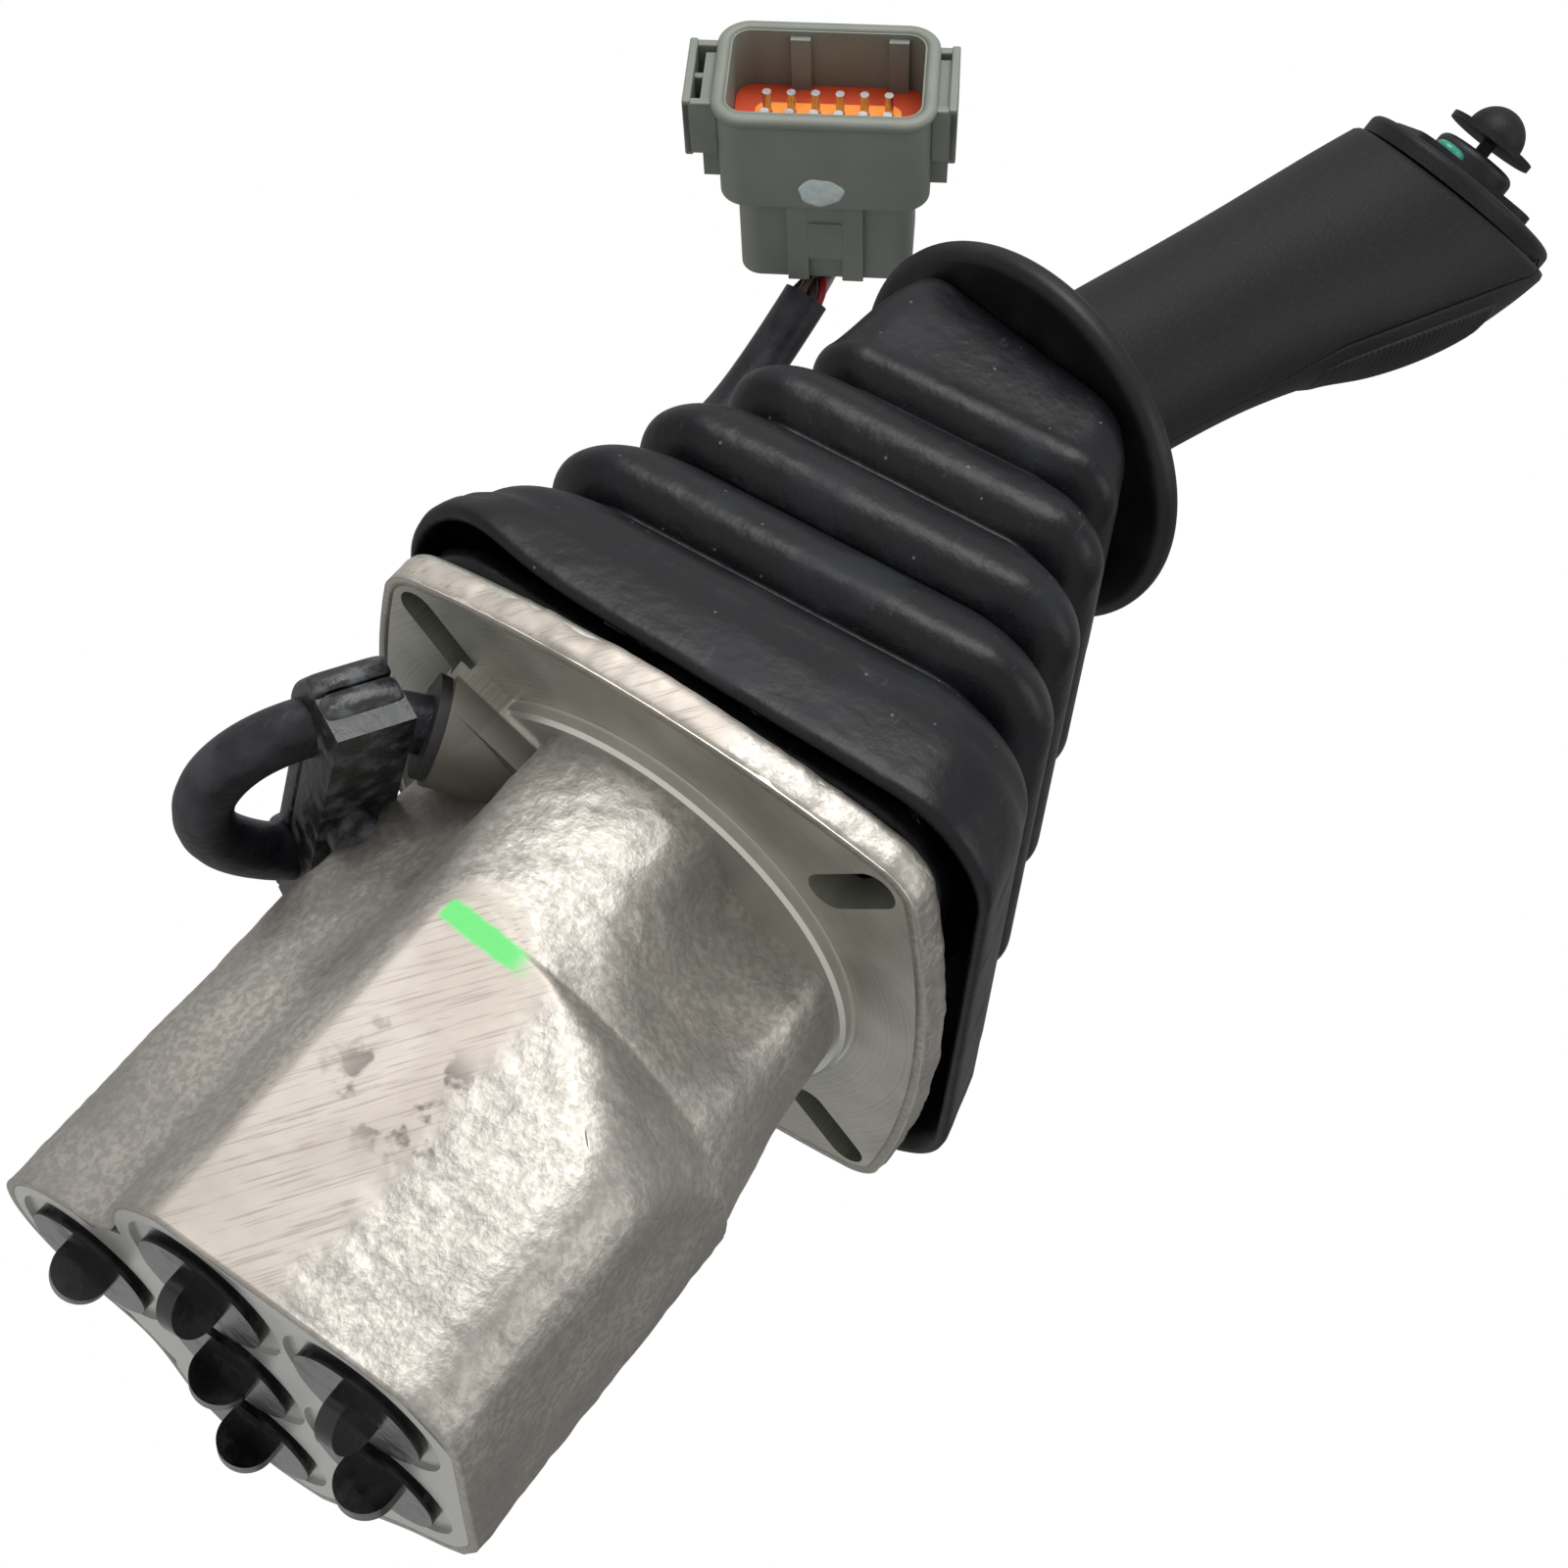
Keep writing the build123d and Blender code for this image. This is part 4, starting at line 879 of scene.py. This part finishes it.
def clip_half(name, side):
    """A bar whose height follows a saddle over each strand, with a rounded rectangle for its section."""
    reach = strand_at + CABLE_R + CLIP_END
    x = np.linspace(-reach, reach, 90)[:, None]
    saddle = np.sqrt(np.maximum(CLIP_SADDLE_R**2 - (np.abs(x) - strand_at) ** 2, 0.01))
    top = -join(-saddle, np.full_like(x, -CLIP_BAR_T), 3)
    end_in = np.clip((np.abs(x) - reach + 1.2) / 1.2, 0, 1) ** 2
    top = top - 1.6 * end_in
    round_by = np.linspace(0, 2 * math.pi, 36, endpoint=False)[None, :]
    square_y = np.sign(np.cos(round_by)) * np.abs(np.cos(round_by)) ** 0.3
    square_z = np.sign(np.sin(round_by)) * np.abs(np.sin(round_by)) ** 0.3
    y = square_y * (CLIP_W / 2 - 0.8 * end_in)
    z = side * (CLIP_GAP + (top - CLIP_GAP) * (0.5 + 0.5 * square_z))
    grid = clip_centre + x[..., None] * clip_x + y[..., None] * clip_y + z[..., None] * clip_z
    grid = grid if side > 0 else grid[:, ::-1]
    return surface(name, grid, worn_nylon, "base", caps=True)


nylon = Finish("worn_nylon")
rubbed = nylon.step(nylon.noise(3.2, 5), 0.45, 0.68)
nylon_colour = nylon.mix(rubbed, paint(22, 23, 25), paint(70, 72, 74))
worn_nylon = nylon.done(nylon_colour, 0.42 + 0.2 * rubbed, nylon.bump(nylon.noise(1.8, 4), 0.25))
clip_outer = clip_half("clip_outer", 1)
clip_inner = clip_half("clip_inner", -1)
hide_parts("cable_clip_strap")


# ---- finishes of the solid's own parts ----
# What moves oil or carries load inside is bright steel, bronze or spring steel. The caps, seals and plugs are
# moulded in plastic and rubber.
bright_steel = toned(
    "bright_steel", 0.6, 2, (168, 170, 172), (196, 197, 198), 0.22, 0.12, metallic=1.0, stretch=(8, 8, 1)
)
spring_steel = toned("spring_steel", 2, 2, (120, 122, 126), (150, 151, 154), 0.34, 0.1, metallic=1.0)
bronze = toned("bronze", 3, 4, (168, 124, 72), (188, 146, 92), 0.3, 0.12, metallic=1.0)
soft = Finish("black_rubber")
soft_tone = soft.noise(2.5, 4)
black_rubber = soft.done(
    soft.mix(soft_tone, paint(22, 22, 24), paint(40, 40, 42)), 0.5 + 0.2 * soft_tone, soft.bump(soft_tone, 0.08)
)
cap = Finish("plug_plastic")
cap_tone = cap.step(cap.noise(5, 5), 0.5, 0.8)
plug_plastic = cap.done(
    cap.mix(0.5 * cap_tone, paint(12, 13, 15), paint(52, 54, 56)),
    0.2 + 0.25 * cap_tone,
    cap.bump(cap.noise(1.6, 3), 0.06),
)
grey = Finish("grey_plastic")
grey_tone = grey.noise(8, 4)
grey_fine = grey.noise(0.4, 2)
grey_plastic = grey.done(
    grey.mix(grey_tone, paint(98, 103, 95), paint(116, 120, 111)), 0.5 + 0.1 * grey_tone, grey.bump(grey_fine, 0.03)
)
red_seal = toned("red_seal", 2.5, 3, (176, 58, 30), (204, 78, 44), 0.36, 0.1)
orange_plastic = toned("orange_plastic", 2.5, 3, (226, 128, 40), (240, 146, 58), 0.42, 0.1)

# Each node takes the finish of the longest name here that its own name begins with.
NODE_FINISHES = {
    "valve_body": machined_body, "retaining_plate": bright_steel, "joint_base_fork": bright_steel,
    "joint_cross": bright_steel, "swash_plate": bright_steel, "lever_rod": bright_steel,
    "lever_lock_nut": bright_steel, "plunger": bright_steel, "plunger_guide": bronze,
    "metering_spool": bright_steel, "return_spring": spring_steel, "control_spring": spring_steel,
    "wiper_seals": black_rubber, "grip_core": bright_steel, "grip_screws": bright_steel,
    "cable_clip_screw": bright_steel, "connector_contacts": bright_steel, "port_plug": plug_plastic,
    "hand_guard_disc": moulded_black, "grip_top_plate": grip_plastic, "switch_base": moulded_black,
    "thumb_stem": moulded_black, "thumb_cap": grip_plastic, "grip_button": green_plastic,
    "cable_grommet": black_rubber, "cable_clip_base": worn_nylon, "connector_housing": grey_plastic,
    "connector_face_seal": red_seal, "connector_wedge_lock": orange_plastic, "connector_rear_seal": red_seal,
    "cable": cable_cover, "cable_wires": black_rubber, "rubber_boot": boot_rubber, "grip_shell": grip_plastic,
    "grip_rear_cover": grip_plastic, "grip_ribbed_insert": moulded_black, "cable_clip_strap": worn_nylon,
}
for name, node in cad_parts.items():
    family = max((key for key in NODE_FINISHES if name.startswith(key)), key=len)
    node.data.materials.clear()
    node.data.materials.append(NODE_FINISHES[family])


# ---- connector details ----
# The receptacle's mouth has a rolled lip. Each end carries a latch guard, an open frame round the latch's ramp. On
# the rear block a raised pad with a notch takes the mounting clip, and an inspector's dab of paint is on the shell.
SHELL_HALF = (19.0, 12.2, 5.0)  # half width, half depth, corner radius
MOUTH_Z = 17.0
REAR_FACE = -9.7
REAR_LOW = -23.7
LIP_PROFILE = [
    (-1.5, 0.0), (-0.7, 0.35), (0.3, 0.3), (0.9, -0.2), (1.0, -1.0), (0.6, -1.8), (0.05, -2.2), (-0.4, -2.2),
    (-0.9, -1.2),
]
LATCH_ROOT = 18.9
LATCH_BAR = 1.5
LATCH_GUARDS = [("latch_guard_left", -1, 25.0), ("latch_guard_right", 1, 23.4)]  # name, side and reach
LATCH_WEBS = [(-8.0, -6.4, 4.4, 16.2), (7.0, 8.6, 6.0, 16.2), (0.2, 1.6, 8.0, 14.8)]
PAD_OUT = REAR_FACE - 1.1
CONNECTOR_NODES = ("housing", "face_seal", "wedge_lock", "contacts", "rear_seal")
BOX_FACES = [(0, 2, 3, 1), (4, 5, 7, 6), (0, 1, 5, 4), (2, 6, 7, 3), (0, 4, 6, 2), (1, 3, 7, 5)]


def on_plug(points):
    """Points in the connector's axes, as points in the row's axes."""
    return PLUG_AT + np.asarray(points) @ PLUG_AXES


def loop(half_x, half_y, corner, height, count=25):
    """A rounded rectangle at a height in the connector's axes."""
    ring = []
    for number, (sx, sy) in enumerate(((1, 1), (-1, 1), (-1, -1), (1, -1))):
        bend = math.pi / 2 * (number + np.linspace(0, 1, count))
        x = sx * (half_x - corner) + corner * np.cos(bend)
        y = sy * (half_y - corner) + corner * np.sin(bend)
        ring.append(np.column_stack((x, y, np.full(count, height))))
    return np.vstack(ring)


half_x, half_y, corner = SHELL_HALF
lip = np.array([
    on_plug(loop(half_x + out, half_y + out, corner + out, MOUTH_Z + up)) for out, up in LIP_PROFILE
])
details = [surface("connector_lip", lip, grey_plastic, "base", wrap_rows=True)]


def blocks(name, boxes, finish, round_by=0.35):
    """One piece from boxes between two corners in the connector's axes, with eased edges."""
    points = np.array([
        [[box[end][axis] for axis, end in enumerate(ends)] for ends in np.ndindex(2, 2, 2)] for box in boxes
    ])
    faces = [tuple(8 * number + v for v in face) for number in range(len(boxes)) for face in BOX_FACES]
    mesh = bpy.data.meshes.new(name)
    mesh.from_pydata((on_plug(points.reshape(-1, 3)) * MM).tolist(), [], faces)
    mesh.materials.append(finish)
    made = bpy.data.objects.new(name, mesh)
    bpy.context.scene.collection.objects.link(made)
    ease = made.modifiers.new("ease", "BEVEL")
    ease.width = round_by * MM
    ease.segments = 3
    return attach(made, "base")


for name, side, out in LATCH_GUARDS:
    near, far = sorted((side * LATCH_ROOT, side * out))
    inner, outer = sorted((side * (out - LATCH_BAR), side * out))
    guard_boxes = [((inner, -8.0, 4.0), (outer, 8.6, 16.6))]
    guard_boxes += [((near, y_low, z_low), (far, y_high, z_high)) for y_low, y_high, z_low, z_high in LATCH_WEBS]
    details.append(blocks(name, guard_boxes, grey_plastic))
pad_boxes = [
    ((x0, PAD_OUT, low), (x1, REAR_FACE + 1, -3.9))
    for x0, x1, low in ((-6.9, -3.0, REAR_LOW), (-3.1, 3.3, -18.2), (3.2, 7.1, REAR_LOW))
]
pad_boxes.append(((-2.9, PAD_OUT - 0.5, -9.6), (3.1, REAR_FACE, -8.9)))
details.append(blocks("rear_pad", pad_boxes, grey_plastic, 0.15))
dab_paint = Finish("dab_paint")
dab_tone = dab_paint.noise(1.6, 4)
dab_white = dab_paint.done(
    dab_paint.mix(dab_tone, paint(150, 164, 164), paint(206, 216, 216)), 0.5, dab_paint.bump(dab_tone, 0.25)
)
turn_by = np.linspace(0, 2 * math.pi, 48, endpoint=False)
edge = 1 + 0.05 * np.sin(3 * turn_by + 1) + 0.03 * np.sin(7 * turn_by)
dab = []
for size, height in ((1.0, -0.1), (1.0, 0.05), (0.86, 0.22), (0.5, 0.26)):
    x = -0.4 + 4.05 * size * edge * np.cos(turn_by)
    z = 3.2 * size * edge * np.sin(turn_by)
    dab.append(on_plug(np.column_stack((x, np.full(48, -half_y - height), z))))
details.append(surface("paint_dab", np.array(dab), dab_white, "base", caps=True))
connector_parts = details + [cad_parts[f"connector_{name}"] for name in CONNECTOR_NODES]
wires + connector_parts
